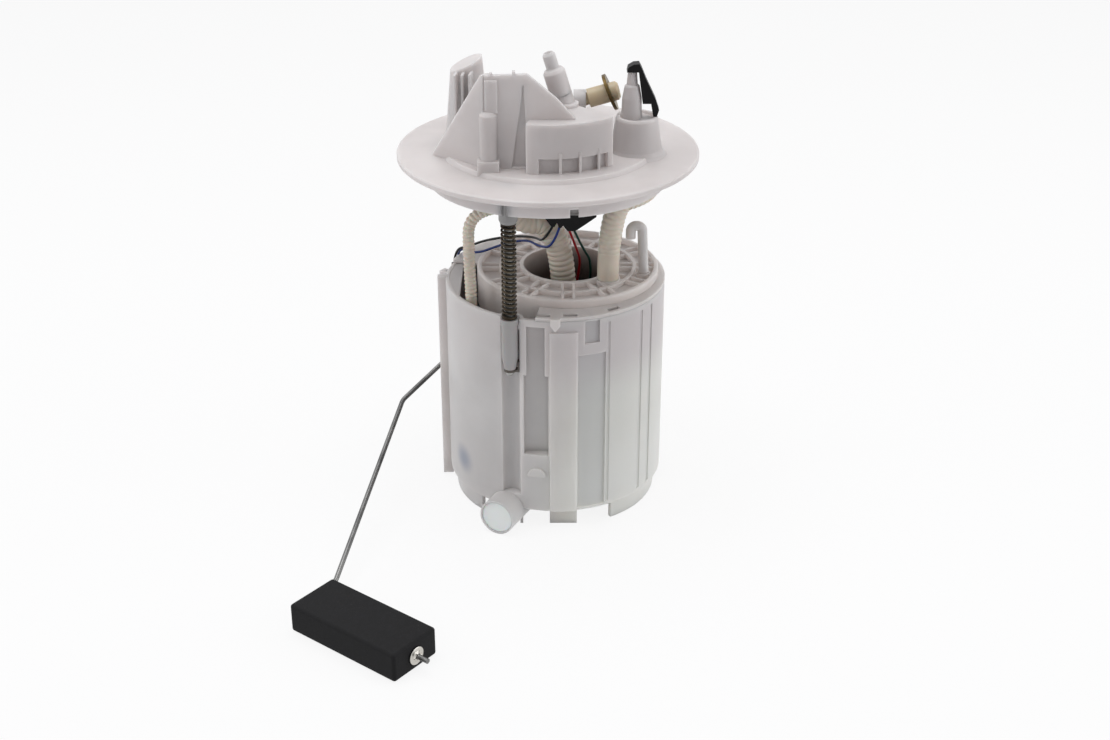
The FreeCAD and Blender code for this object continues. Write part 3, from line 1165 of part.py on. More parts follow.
plate_middle = size("sender_face") - size("sender_thick") / 2
WIRES = {
    "wire_red": [(10.4, plug_y, -33.5), (14.8, -9, -48), (16.9, 5, -61.7), (14, 9, cover_z)],
    "wire_green": [(12.8, plug_y, -33.5), (17, -12, -45), (23, 2, -60), (21, 8, cover_z)],
    "wire_black": [(2.5, plug_y, -31.4), (-2, -12, -42.5), (-7, 0, -44.5), (-18.6, 8, -47.4),
                   (-32.8, 14, -52.1), (-42, 20, -58.2), (-49.3, 24.5, -61.5),
                   sender_point(-10, plate_middle, plate_z)],
    "wire_blue": [(6, plug_y, -31.4), (2.5, -17, -43), (-4, -5, -48), (-11.4, 5, -47.7),
                  (-25, 11, -53.6), (-38.3, 16, -61), (-48.6, 27.5, -61),
                  sender_point(-6, plate_middle, plate_z)],
}
for name, points in WIRES.items():
    node(name, pipe(name, points, wire))

# Level sender: plate in the bowl's rails, resistor card, pivoting hub and wiper.
plate_panel = sender_block("plate_panel", "2 * sender_half", "sender_thick",
                           "sender_top - sender_bottom", "-sender_half", plate_low,
                           "sender_bottom")
node("sender_plate", less("sender_plate", plate_panel, [
    sender_disc("plate_hole", "pin_radius + pin_play", "sender_thick + 2", "0",
                f"{plate_low} - 1", "pivot_z")]))
node("resistor_card", sender_block("resistor_card", "2 * card_half", "card_thick",
                                   "card_top - card_bottom", "-card_half", "sender_face",
                                   "card_bottom"))
hub_face = "sender_face + hub_play + hub_thick"


def leaning_bar(name, near, far, half, lean, thick, out):
    """A flat bar about the pivot between two reaches, leaning from the upright towards -t."""
    corners = [
        (f"-({reach}) * sin({lean}) + ({side}) * cos({lean})",
         f"({reach}) * cos({lean}) + ({side}) * sin({lean})")
        for reach, side in ((near, f"-({half})"), (far, f"-({half})"), (far, half), (near, half))
    ]
    return sender_place(plate(name, corners, thick), "0", f"{out} + ({thick}) / 2", "pivot_z")


slope = math.radians(size("arm_slope"))
bend, plane = size("arm_bend"), size("arm_plane")
rise = math.tan(slope)
arm_points = [
    sender_point(size("arm_start"), plane, size("pivot_z") + size("arm_start") * rise),
    sender_point(-bend, plane, size("pivot_z") - bend * rise),
    sender_point(size("arm_side") - size("float_t"), size("arm_corner"),
                 size("float_z") + size("arm_side_rise")),
    sender_point(-size("float_t"), size("arm_corner"), size("float_z")),
    sender_point(-size("float_t"), size("float_near") - size("float_long") - size("arm_stub"),
                 size("float_z")),
]
arm_bends = [size("arm_bend_radius"), size("arm_side_radius"), size("arm_corner_radius")]
hub_solid = fused("hub_solid", [
    sender_disc("hub_pin", "pin_radius", "sender_thick + 2 * hub_play + 1", "0",
                f"{plate_low} - hub_play - 0.5", "pivot_z"),
    sender_disc("hub_head", "pin_head", "pin_head_thick", "0",
                f"{plate_low} - hub_play - pin_head_thick", "pivot_z"),
    sender_disc("hub_disc", "hub_radius", "hub_thick", "0", "sender_face + hub_play", "pivot_z"),
    leaning_bar("hub_bar", "-hub_block", "hub_block", "hub_block_tall", "90 + arm_slope",
                "hub_block_thick", hub_face),
])
arm_space = pipe("arm_space", arm_points[:2], size("arm_radius") + size("hub_play"))
node("arm_hub", less("arm_hub", hub_solid, [arm_space]))
node("wiper", fused("wiper", [
    leaning_bar("wiper_strip", "wiper_root", "wiper_reach", "wiper_wide / 2", "wiper_lean",
                "wiper_thick", hub_face),
    leaning_bar("wiper_tip", "wiper_reach - wiper_contact", "wiper_reach", "wiper_wide / 2",
                "wiper_lean", "hub_play + hub_thick - card_thick - wiper_play",
                "sender_face + card_thick + wiper_play"),
]))
node("float_arm", pipe("float_arm", arm_points, size("arm_radius"), bends=arm_bends))

# Foam float turning on the arm's end, kept on by a push nut.
float_end = "float_near - float_long"
float_body = plate("float_body", [
    ("-float_wide / 2", "-float_tall / 2"),
    ("float_wide / 2", "-float_tall / 2"),
    ("float_wide / 2", "float_tall / 2"),
    ("-float_wide / 2", "float_tall / 2"),
], "float_long")
float_pad = float_body.Tip
rounding = float_body.newObject("PartDesign::Fillet", "float_rounding")
rounding.Base = (float_pad, ["Edge1"])
rounding.UseAllEdges = True
rounding.setExpression("Radius", tied("float_round"))
sender_place(float_body, "-float_t", "float_near - float_long / 2", "float_z")
node("float", less("float", float_body, [
    sender_disc("float_bore", "arm_radius + float_bore_play", "float_long + 4", "-float_t",
                f"{float_end} - 2", "float_z")]))
node("push_nut", less("push_nut", sender_disc("push_disc", "push_nut_radius", "push_nut_thick",
                                              "-float_t",
                                              f"{float_end} - push_nut_play - push_nut_thick",
                                              "float_z"), [
    sender_disc("push_hole", "arm_radius + shaft_play", "push_nut_thick + 2", "-float_t",
                f"{float_end} - push_nut_play - push_nut_thick - 1", "float_z")]))

doc.recompute()
os.makedirs("parts", exist_ok=True)
faults = [item.Name for item in doc.Objects if "Invalid" in item.State or "Error" in item.State]
if faults:
    raise RuntimeError(f"failed objects: {faults}")
for piece in NODES:
    if piece.Shape.isNull() or not piece.Shape.isValid() or not piece.Shape.Solids:
        raise RuntimeError(f"{piece.Label} has no valid solid")
for piece in NODES:
    piece.Shape.exportStep(f"parts/{piece.Label}.step")
    print(f"{piece.Label}: {len(piece.Shape.Solids)} solids, {piece.Shape.Volume:.0f} mm3")
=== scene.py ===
"""Fuel pump module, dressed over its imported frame. Metres, +Z up, the viewer's side is -Y."""

import math

import bpy
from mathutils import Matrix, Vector


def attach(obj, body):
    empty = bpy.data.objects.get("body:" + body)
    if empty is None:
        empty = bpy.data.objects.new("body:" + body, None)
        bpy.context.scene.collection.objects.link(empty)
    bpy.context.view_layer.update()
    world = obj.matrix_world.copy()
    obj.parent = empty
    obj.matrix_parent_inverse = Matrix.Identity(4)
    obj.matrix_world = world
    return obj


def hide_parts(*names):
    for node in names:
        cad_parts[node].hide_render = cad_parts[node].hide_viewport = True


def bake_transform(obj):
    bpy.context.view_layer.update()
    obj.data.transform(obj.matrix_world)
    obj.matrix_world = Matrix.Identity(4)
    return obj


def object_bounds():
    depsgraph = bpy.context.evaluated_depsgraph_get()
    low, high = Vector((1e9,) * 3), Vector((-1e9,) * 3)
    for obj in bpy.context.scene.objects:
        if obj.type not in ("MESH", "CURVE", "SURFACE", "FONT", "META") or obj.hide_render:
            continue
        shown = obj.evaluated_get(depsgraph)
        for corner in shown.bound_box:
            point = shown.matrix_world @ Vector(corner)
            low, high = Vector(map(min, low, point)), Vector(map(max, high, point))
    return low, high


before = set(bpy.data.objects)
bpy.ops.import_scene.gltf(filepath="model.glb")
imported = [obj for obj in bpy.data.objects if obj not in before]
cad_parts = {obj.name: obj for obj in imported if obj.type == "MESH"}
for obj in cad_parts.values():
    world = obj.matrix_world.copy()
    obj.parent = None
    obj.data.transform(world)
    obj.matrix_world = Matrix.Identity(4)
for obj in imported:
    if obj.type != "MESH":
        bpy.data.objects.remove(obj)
cad_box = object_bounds()

# The view of the photograph: a 36 mm sensor with a moderately long lens, looking down at the
# module from its front side, level from left to right.
camera_lens, sensor_width = 54.81, 36
camera_place = (0.0035, -0.7995, 0.2816)
camera_dip = 26.7
view = bpy.data.cameras.new("view")
view.lens = camera_lens
view.sensor_width = sensor_width
view.clip_end = 50
viewer = bpy.data.objects.new("view", view)
viewer.location = camera_place
viewer.rotation_euler = (math.radians(90 - camera_dip), 0, 0)
bpy.context.scene.collection.objects.link(viewer)
bpy.context.scene.camera = viewer
bpy.context.scene.view_settings.view_transform = "Standard"


class Shade:
    """One output of a material's or a geometry tree's nodes, on which sums add Math nodes."""

    def __init__(self, tree, socket):
        self.tree = tree
        self.socket = socket

    def add(self, kind, settings=None, inputs=None, output=0):
        """Add a node, set its settings and then its inputs, and give one of its outputs."""
        node = self.tree.nodes.new(kind)
        for name, value in (settings or {}).items():
            setattr(node, name, value)
        for name, value in (inputs or {}).items():
            socket = node.inputs[name]
            if isinstance(value, Shade):
                self.tree.links.new(value.socket, socket)
            else:
                socket.default_value = value
        return Shade(self.tree, node.outputs[output])

    def calc(self, operation, other=0.0):
        """One Math node on this value and, where the operation takes two, another."""
        return self.add("ShaderNodeMath", {"operation": operation}, {0: self, 1: other})

    def __add__(self, other):
        return self.calc("ADD", other)

    def __sub__(self, other):
        return self.calc("SUBTRACT", other)

    def __mul__(self, other):
        return self.calc("MULTIPLY", other)

    def __truediv__(self, other):
        return self.calc("DIVIDE", other)

    def __rsub__(self, other):
        return self.add("ShaderNodeMath", {"operation": "SUBTRACT"}, {0: other, 1: self})

    __radd__ = __add__
    __rmul__ = __mul__

    def smooth(self, low, high):
        """0 below low, 1 above high, and a soft step between them."""
        return self.add("ShaderNodeMapRange", {"interpolation_type": "SMOOTHSTEP"},
                        {"Value": self, "From Min": low, "From Max": high})

    def tint(self, first, second):
        """The colour that lies between two others by this value."""
        colours = [(*item, 1) if isinstance(item, tuple) else item for item in (first, second)]
        return self.add("ShaderNodeMix", {"data_type": "RGBA"},
                        {"Factor": self, 6: colours[0], 7: colours[1]}, 2)


def srgb(red, green, blue):
    """A colour in plain light from its three screen values of 0 to 255."""
    return tuple(((c / 255 + 0.055) / 1.055) ** 2.4 if c > 10 else c / 255 / 12.92
                 for c in (red, green, blue))


def new_finish(name, **constants):
    """A material with its shader's plain values set, and the point on the object to work from."""
    material = bpy.data.materials.new(name)
    material.use_nodes = True
    tree = material.node_tree
    shader = tree.nodes["Principled BSDF"]
    for socket, value in constants.items():
        shader.inputs[socket.replace("_", " ")].default_value = value
    place = Shade(tree, None).add("ShaderNodeTexCoord", output="Object")
    return material, shader, place


def feed(shader, **links):
    """Join what changes over the surface to the shader's sockets."""
    for socket, shade in links.items():
        shade.tree.links.new(shade.socket, shader.inputs[socket.replace("_", " ")])


def cloud(place, scale, detail=3.0, rough=0.5):
    """Soft noise of 0 to 1 over the object."""
    return place.add("ShaderNodeTexNoise", None,
                     {"Vector": place, "Scale": scale, "Detail": detail, "Roughness": rough})


def bumped(height, strength, distance, edge=0.0):
    """Bumps from a height, over the surface or over the same surface with its edges eased."""
    inputs = {"Height": height, "Strength": strength, "Distance": distance}
    if edge:
        inputs["Normal"] = height.add("ShaderNodeBevel", {"samples": 6}, {"Radius": edge})
    return height.add("ShaderNodeBump", None, inputs)


# Studio: a pale floor and a white surround that show as plain white behind the module, with
# large soft lamps. The floor keeps a faint contact shadow.
floor_size, floor_gap = 90, 0.0002
floor_whiteness = 0.87
dim_surround, white_surround = (0.36, 0.36, 0.37), (0.98, 0.98, 0.995)


def seen_ray(start):
    """1 on the rays that show the studio itself, straight, mirrored or through glass, else 0."""
    straight, mirrored, through = (start.add("ShaderNodeLightPath", output=f"Is {kind} Ray")
                                   for kind in ("Camera", "Glossy", "Transmission"))
    return straight.calc("MAXIMUM", mirrored).calc("MAXIMUM", through)


floor_z = cad_box[0][2] - floor_gap
bpy.ops.mesh.primitive_plane_add(size=floor_size, location=(0, 0, floor_z))
floor = bpy.context.object
floor.name = "floor"
pale, pale_shader, pale_place = new_finish("pale_floor", Roughness=0.9)
pale_shader.inputs["Base Color"].default_value = (0.86, 0.86, 0.87, 1)
glow = pale_place.add("ShaderNodeEmission", None, {"Color": (1, 1, 1, 1), "Strength": 1.0})
blend = glow.add("ShaderNodeMixShader", None, {
    0: seen_ray(pale_place) * floor_whiteness,
    1: Shade(pale.node_tree, pale_shader.outputs[0]),
    2: glow,
})
pale.node_tree.links.new(blend.socket, pale.node_tree.nodes["Material Output"].inputs[0])
floor.data.materials.append(pale)

world = bpy.data.worlds.new("surround")
bpy.context.scene.world = world
world.use_nodes = True
around = world.node_tree.nodes["Background"]
around.inputs["Strength"].default_value = 1.0
white = seen_ray(Shade(world.node_tree, None))
world.node_tree.links.new(white.tint(dim_surround, white_surround).socket,
                          around.inputs["Color"])

lamp_aim = (0, 0, -0.08)


def soft_lamp(name, place, size, watts):
    """A square area lamp turned to the module's middle."""
    lamp = bpy.data.lights.new(name, "AREA")
    lamp.shape = "SQUARE"
    lamp.size = size
    lamp.energy = watts
    holder = bpy.data.objects.new(name, lamp)
    holder.location = place
    holder.rotation_euler = (Vector(lamp_aim) - Vector(place)).to_track_quat("-Z", "Y").to_euler()
    bpy.context.scene.collection.objects.link(holder)


soft_lamp("lamp_over", (-0.1, 0.05, 1.3), size=1.1, watts=12)
soft_lamp("lamp_left", (-1.2, -0.25, 0.3), size=0.9, watts=4)
soft_lamp("lamp_right", (1.2, -0.15, 0.3), size=0.9, watts=5)


def dress(material, *names):
    """Give the CAD pieces of these names one finish."""
    for name in names:
        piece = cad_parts[name]
        piece.data.materials.clear()
        piece.data.materials.append(material)


def moulded(name, pale_tone, deep_tone, rough, grain=0.15, edge=0.0005, paint=None, **constants):
    """A moulded polymer: slow clouds of tone, a fine sparked grain and faint flow marks."""
    material, shader, place = new_finish(name, **constants)
    slow = cloud(place, scale=22, detail=4)
    fine = cloud(place, scale=900, detail=2)
    tone = slow.smooth(0.3, 0.7).tint(pale_tone, deep_tone)
    if paint:
        tone = paint(place, tone)
    flow = place.add("ShaderNodeTexWave", {"bands_direction": "DIAGONAL"},
                     {"Vector": place, "Scale": 14, "Distortion": 9, "Detail": 2}, 1)
    height = fine + flow * 0.35 + slow * 0.6
    feed(shader, Base_Color=tone, Roughness=rough - 0.06 + 0.12 * cloud(place, scale=90),
         Normal=bumped(height, grain, 0.0002, edge))
    return material


# Flange and the fittings on it: natural acetal, injection moulded, so it is milky and lets a
# little light through. Thick corners look whiter than thin walls.
milky = {"Subsurface_Weight": 0.75, "Subsurface_Scale": 0.007,
         "Subsurface_Radius": (1.0, 0.92, 0.88)}
natural = moulded("natural_acetal", srgb(211, 206, 205), srgb(197, 192, 191), 0.42, **milky)
dress(natural, "flange", "outlet_nipple", "top_port")

# Reservoir cap: a ribbed moulding in the same polymer. Light hardly gets down into the well that
# holds the pump, so the well is painted with brown shade, deeper towards its foot.
well_x, well_y = 0.010, 0.002
well_wall = (0.0225, 0.0231)
# Depths over which the well's painted shade deepens.
well_shade_depth = (0.0575, 0.076)


def along(place, axis):
    """One coordinate of a point, by the axis's number."""
    return place.add("ShaderNodeSeparateXYZ", None, {"Vector": place}, axis)


def painted_well_shade(place, tone):
    """Painted brown shade inside the cap's well, deeper towards its foot."""
    side = along(place, 0) - well_x
    back = along(place, 1) - well_y
    inside = 1 - (side * side + back * back).calc("SQRT").smooth(*well_wall)
    shade = (along(place, 2) * -1).smooth(*well_shade_depth)
    # Painted shade: the well's inside is tinted dark brown.
    return (inside * (0.5 + 0.5 * shade)).tint(tone, srgb(62, 47, 38))


cap_finish = moulded("cap_acetal", srgb(240, 231, 226), srgb(226, 216, 211), 0.44,
                     paint=painted_well_shade, **milky)
dress(cap_finish, "reservoir_cap", "hook_spout")

# Reservoir: one thin moulded bowl. Its wall is milky. Painted shade darkens it where the cap's
# skirt stands behind it, painted light makes its lower right paler, and the sender's lead shows
# through it as a bluish shade. Depths are below the flange's seat, and sides are to the right of
# its axis.
skirt_shade_depth = (0.066, 0.070)
# Painted light on the lower right of the bowl, paler still at its foot.
lit_lower_depth, lit_lower_side = (0.086, 0.118), (-0.012, 0.03)
lit_foot_depth, lit_foot_side = (0.12, 0.165), (-0.02, 0.02)
lead_spot, lead_reach = (-0.0441, -0.0298, -0.157), (0.001, 0.0105)


def wall_light_shade_and_lead(place, tone):
    """Painted shade from the skirt behind the wall, painted light on the lower right, and the
    lead that shows through.
    """
    side = along(place, 0)
    depth = along(place, 2) * -1
    lower = depth.smooth(*lit_lower_depth)
    right = side.smooth(*lit_lower_side)
    # Painted shade where the cap's skirt stands behind the wall, stronger on the right.
    skirt = (1 - lower) * (0.35 + 0.65 * right) * depth.smooth(*skirt_shade_depth)
    tone = (skirt * (0.5 + 0.5 * cloud(place, scale=9, detail=1))).tint(tone, srgb(203, 195, 195))
    # Painted light: the lower right is made paler, and its foot paler still.
    tone = (lower * right * 0.8).tint(tone, srgb(229, 228, 219))
    foot = depth.smooth(*lit_foot_depth) * side.smooth(*lit_foot_side) * 0.6
    tone = foot.tint(tone, srgb(250, 248, 239))
    spot = place.add("ShaderNodeVectorMath", {"operation": "DISTANCE"},
                     {0: place, 1: lead_spot}, 1)
    return ((1 - spot.smooth(*lead_reach)) * 0.7).tint(tone, srgb(128, 138, 160))


bowl_finish = moulded("bowl_acetal", srgb(218, 214, 212), srgb(206, 202, 200), 0.4,
                      paint=wall_light_shade_and_lead, **milky)
dress(bowl_finish, "reservoir", "sender_plate")

# Closing disc of the inlet stub: the same polymer, painted whiter than the bowl as painted light,
# with a smoother face than the bowl's.
lit_disc_finish = moulded("lit_disc_acetal", srgb(253, 251, 248), srgb(246, 244, 241), 0.36,
                      Subsurface_Weight=0.3, Subsurface_Scale=0.004)
dress(lit_disc_finish, "stub_disc")

# Return port: an amber sleeve, with the dark bronze clip that holds the connector on it. The
# sender's wiper has the clip's finish.
amber = moulded("amber_nylon", srgb(208, 192, 162), srgb(186, 168, 136), 0.36,
                Subsurface_Weight=0.15, Subsurface_Scale=0.003)
dress(amber, "port_sleeve")


def metal(name, bright, dull, rough, stretch=(1, 1, 1), wear=0.1):
    """A bare or plated metal with its drawing or turning marks along one direction."""
    material, shader, place = new_finish(name, Metallic=1.0)
    drawn = place.add("ShaderNodeMapping", None, {"Vector": place, "Scale": stretch})
    lines = cloud(drawn, scale=700, detail=3, rough=0.6)
    stain = cloud(place, scale=60, detail=4)
    feed(shader, Base_Color=stain.smooth(0.35, 0.7).tint(bright, dull),
         Roughness=rough - wear / 2 + wear * lines + 0.12 * stain.smooth(0.4, 0.75),
         Normal=bumped(lines, 0.12, 0.0001))
    return material


bronze = metal("spring_bronze", srgb(122, 102, 66), srgb(58, 46, 30), 0.34)
dress(bronze, "port_clip", "wiper")

# Latch clip on the post at the right: black acetal with a matt surface. It hooks over the
# post's head, and its leg comes down to the rim of the cone below.
black = moulded("black_acetal", srgb(18, 18, 19), srgb(12, 12, 13), 0.45, Specular_IOR_Level=0.15)
dress(black, "post_clip")

# Inner plug: black housing on a pale stem that comes down from the flange, where the pump's and
# the sender's wires end.
stem_foot, stem_top = (-0.0248, -0.0245), (-0.0152, -0.0148)


def pale_stem(place, tone):
    """The stem between the plug's housing and the flange."""
    height = along(place, 2)
    stem = height.smooth(*stem_foot) * (1 - height.smooth(*stem_top))
    return stem.tint(tone, srgb(150, 148, 146))


plug_black = moulded("plug_housing", srgb(18, 18, 19), srgb(12, 12, 13), 0.5, paint=pale_stem,
                     Specular_IOR_Level=0.15)
dress(plug_black, "inner_plug")

# Seats, bushes and stops of the guide rods, and the sender's hub: small mouldings in three
# greys, the bushes in the palest and the stops in the darkest.
latch = moulded("latch_acetal", srgb(92, 84, 76), srgb(70, 64, 58), 0.45)
dress(latch, "rod_stop_front", "rod_stop_rear")
grey = moulded("grey_acetal", srgb(150, 149, 148), srgb(136, 135, 134), 0.42)
dress(grey, "rod_socket_front", "rod_socket_rear", "arm_hub")
cool = moulded("cool_grey_acetal", srgb(172, 170, 169), srgb(158, 156, 155), 0.42,
               Subsurface_Weight=0.2, Subsurface_Scale=0.003)
dress(cool, "rod_bush_front", "rod_bush_rear")

# Guide rods: ground steel, bright, with faint marks along the rod. They hang from the flange and
# slide in the bowl's bushes. The pump's shaft and the plug's pins have the same finish.
rod_steel = metal("ground_steel", srgb(190, 190, 188), srgb(160, 160, 158), 0.26, (1, 1, 0.05))
dress(rod_steel, "guide_rod_front", "guide_rod_rear", "rotor_shaft", "terminal_pins")

# Electric pump inside the bowl: plated can, cast ends, ferrite magnets and a copper-wound rotor,
# held by a rubber sleeve. The bowl's foot valve is rubber too.
can_steel = metal("plated_can", srgb(186, 186, 184), srgb(150, 150, 150), 0.3, (1, 1, 0.1))
dress(can_steel, "pump_can")
cast = metal("cast_aluminium", srgb(178, 178, 176), srgb(150, 150, 148), 0.5, wear=0.2)
dress(cast, "pump_inlet_plate", "chamber_plate")
dark = moulded("glass_filled_polymer", srgb(52, 44, 38), srgb(38, 32, 28), 0.5, grain=0.3)
dress(dark, "pump_outlet_cover", "impeller", "jet_nozzle")
ferrite = moulded("sintered_ferrite", srgb(66, 66, 70), srgb(50, 50, 54), 0.7, grain=0.4)
dress(ferrite, "magnets", "brushes")
copper = metal("wound_copper", srgb(184, 110, 66), srgb(130, 70, 42), 0.36, (1, 1, 0.2))
dress(copper, "armature", "commutator")
rubber = moulded("black_rubber", srgb(40, 38, 37), srgb(28, 27, 26), 0.7, grain=0.4)
dress(rubber, "pump_sleeve", "foot_valve")

# Sender card: white ceramic with a printed resistor. Silver fingers fan out from the pivot
# across a dark arc of resistive ink, and a silver arc leads to the wires' contacts.
sender_turn = math.radians(52)
pivot_z = -0.125
fingers_per_turn = 110
print_edge = 0.0002
fan_reach, ink_reach, lead_arc = (0.0168, 0.0232), (0.0206, 0.0222), (0.0144, 0.0156)


def printed_tracks(place, tone):
    """Ink and silver printed on the card, by reach and angle from the sender's pivot."""
    across = along(place, 0) * math.cos(sender_turn) + along(place, 1) * math.sin(sender_turn)
    up = along(place, 2) - pivot_z
    reach = (across * across + up * up).calc("SQRT")

    def arc(inner, outer):
        return (reach.smooth(inner, inner + print_edge)
                * (1 - reach.smooth(outer, outer + print_edge)))

    finger = (across.calc("ARCTAN2", up) * fingers_per_turn).calc("SINE").smooth(0.0, 0.3)
    silver = (arc(*fan_reach) * finger).calc("MAXIMUM", arc(*lead_arc))
    return silver.tint(arc(*ink_reach).tint(tone, srgb(46, 44, 44)), srgb(146, 146, 144))


ceramic = moulded("ceramic_card", srgb(228, 227, 222), srgb(214, 213, 208), 0.45,
                  paint=printed_tracks)
dress(ceramic, "resistor_card")

# Strainer: a sock of fine square mesh cloth, two sets of threads across each other. At scale 1
# the wave node's bands repeat every tau / 20 metres.
thread_spacing = 0.00158


def woven(name, warp, weft, spacing):
    """A cloth whose threads run along X and Y."""
    material, shader, place = new_finish(name, Sheen_Weight=0.2)
    wave_scale = math.tau / 20 / spacing
    along_x, along_y = (place.add("ShaderNodeTexWave", {"bands_direction": direction},
                                  {"Vector": place, "Scale": wave_scale, "Distortion": 0.3}, 1)
                        for direction in ("X", "Y"))
    over = along_x.calc("MAXIMUM", along_y)
    feed(shader, Base_Color=over.tint(warp, weft), Roughness=0.8 - 0.2 * over,
         Normal=bumped(over, 0.6, 0.0002))
    return material


cloth = woven("strainer_cloth", srgb(150, 146, 134), srgb(222, 218, 206), thread_spacing)
dress(cloth, "strainer")

# Sender contacts: two tinned strips, folded over the top of the plate and pressed on to the
# card, each with a small barrel that is crimped round its wire. Places are in millimetres:
# along the sender's plate, out from the bowl, and height. Thicknesses are in metres.
contacts = {"black": -10, "blue": -6}
strip_width, strip_thick = 2.2, 0.0003
strip_line = [(55.7, -72.7), (57.35, -72.7), (57.35, -98.2), (58.1, -98.9), (58.1, -102.2)]
barrel_out, barrel_steps, barrel_thick = 56, 20, 0.00025
barrel_rings = [(1.05, -72.6), (0.95, -71.9), (1.1, -71.4), (0.95, -70.8), (1.1, -70.2)]


def at_sender(along_plate, out, height):
    """A point of the sender's own frame, in millimetres, as a place in metres."""
    return Vector((along_plate * math.cos(sender_turn) - out * math.sin(sender_turn),
                   along_plate * math.sin(sender_turn) + out * math.cos(sender_turn),
                   height)) / 1000


def sheet_piece(name, rows, closed, thick, material, body):
    """A thin sheet through rows of points, given its thickness and soft edges."""
    mesh = bpy.data.meshes.new(name)
    count = len(rows[0])
    faces = [(row * count + n, row * count + (n + 1) % count,
              (row + 1) * count + (n + 1) % count, (row + 1) * count + n)
             for row in range(len(rows) - 1) for n in range(count if closed else count - 1)]
    mesh.from_pydata([point for row in rows for point in row], [], faces)
    mesh.materials.append(material)
    piece = bpy.data.objects.new(name, mesh)
    bpy.context.scene.collection.objects.link(piece)
    wall = piece.modifiers.new("wall", "SOLIDIFY")
    wall.thickness = thick
    wall.offset = 0
    wall.use_even_offset = True
    ease = piece.modifiers.new("ease", "BEVEL")
    ease.width = thick / 4
    ease.segments = 2
    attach(piece, body)
    return piece


tinned = metal("tinned_strip", srgb(196, 194, 188), srgb(160, 158, 152), 0.3)
for side, middle in contacts.items():
    strip = [[at_sender(middle + reach, out, height)
              for reach in (-strip_width / 2, strip_width / 2)]
             for out, height in strip_line]
    sheet_piece("contact_strip_" + side, strip, False, strip_thick, tinned, "reservoir_body")
    barrel = []
    for radius, height in barrel_rings:
        turns = [step * math.tau / barrel_steps for step in range(barrel_steps)]
        barrel.append([at_sender(middle + radius * math.cos(turn),
                                 barrel_out + radius * math.sin(turn), height)
                       for turn in turns])
    sheet_piece("contact_barrel_" + side, barrel, True, barrel_thick, tinned, "reservoir_body")

# Push nut: a dished spring-steel disc whose star of six teeth bites into the arm's end. A ring
# gives the radius at a tooth, the radius at a slot and how far it is dished.
nut_along, nut_out, nut_height, nut_thick = -174.7, -61.6, -176.6, 0.0004
nut_steps, tooth_steps, slot_steps = 72, 12, 2
nut_rings = [(4.35, 4.35, 0), (4.1, 4.1, 0.12), (2.7, 2.7, 0.3), (1.4, 2.5, 0.85)]

nut_steel = metal("spring_steel_disc", srgb(206, 203, 196), srgb(166, 162, 154), 0.3)
nut_rows = []
for tooth_radius, slot_radius, lift in nut_rings:
    nut_row = []
    for step in range(nut_steps):
        reach = slot_radius if step % tooth_steps < slot_steps else tooth_radius
        turn = step * math.tau / nut_steps
        nut_row.append(at_sender(nut_along + reach * math.cos(turn), nut_out - lift,
                                 nut_height + reach * math.sin(turn)))
    nut_rows.append(nut_row)
nut = sheet_piece("push_nut_star", nut_rows, True, nut_thick, nut_steel, "sender_arm")
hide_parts("push_nut")

# Float arm: drawn steel wire with a dull zinc coat. It runs out from the hub, turns down to the
# float and passes through it, and the push nut sits on its end.
arm_wire = metal("plated_wire", srgb(122, 122, 121), srgb(96, 96, 96), 0.36, wear=0.15)
dress(arm_wire, "float_arm")

# Float: a block of black closed-cell foam, cut and skinned, with fine pores. Its edges are
# rounder than those of the moulded pieces.
foam_edge = 0.0008
foam, foam_shader, foam_place = new_finish("float_foam", Specular_IOR_Level=0.2)
pores = foam_place.add("ShaderNodeTexVoronoi", None, {"Vector": foam_place, "Scale": 1500})
skin = cloud(foam_place, scale=260, detail=5, rough=0.6)
feed(foam_shader, Base_Color=skin.smooth(0.3, 0.75).tint(srgb(14, 14, 15), srgb(25, 25, 27)),
     Roughness=0.6 + 0.25 * skin,
     Normal=bumped(pores.smooth(0.0, 0.35) + skin, 0.35, 0.0002, foam_edge))
dress(foam, "float")


def route(name, points):
    """The smooth line of a hose or wire through the air, from its route in millimetres."""
    curve = bpy.data.curves.new(name, "CURVE")
    curve.dimensions = "3D"
    curve.resolution_u = 16
    line = curve.splines.new("NURBS")
    line.points.add(len(points) - 1)
    for knot, point in zip(line.points, points):
        knot.co = (*[c / 1000 for c in point], 1)
    line.order_u = 3
    line.use_endpoint_u = True
    thing = bpy.data.objects.new(name, curve)
    bpy.context.scene.collection.objects.link(thing)
    return thing


def grown(seed, tree, sizes):
    """Run a geometry tree on an object with its named inputs, and keep the mesh it makes."""
    modifier = seed.modifiers.new("grow", "NODES")
    modifier.node_group = tree
    for item in tree.interface.items_tree:
        if item.in_out == "INPUT" and item.name in sizes:
            modifier[item.identifier] = sizes[item.name]
    name = seed.name
    evaluated = seed.evaluated_get(bpy.context.evaluated_depsgraph_get())
    mesh = bpy.data.meshes.new_from_object(evaluated)
    bpy.data.objects.remove(seed)
    piece = bpy.data.objects.new(name, mesh)
    bpy.context.scene.collection.objects.link(piece)
    mesh.shade_smooth()
    return piece


def new_tree(name, inputs):
    """An empty geometry tree with named inputs, and its wrapped inputs by name."""
    tree = bpy.data.node_groups.new(name, "GeometryNodeTree")
    tree.interface.new_socket("Geometry", in_out="INPUT", socket_type="NodeSocketGeometry")
    tree.interface.new_socket("Geometry", in_out="OUTPUT", socket_type="NodeSocketGeometry")
    for label, kind in inputs.items():
        tree.interface.new_socket(label, in_out="INPUT", socket_type=kind)
    entry = tree.nodes.new("NodeGroupInput")
    return tree, {socket.name: Shade(tree, socket) for socket in entry.outputs if socket.name}


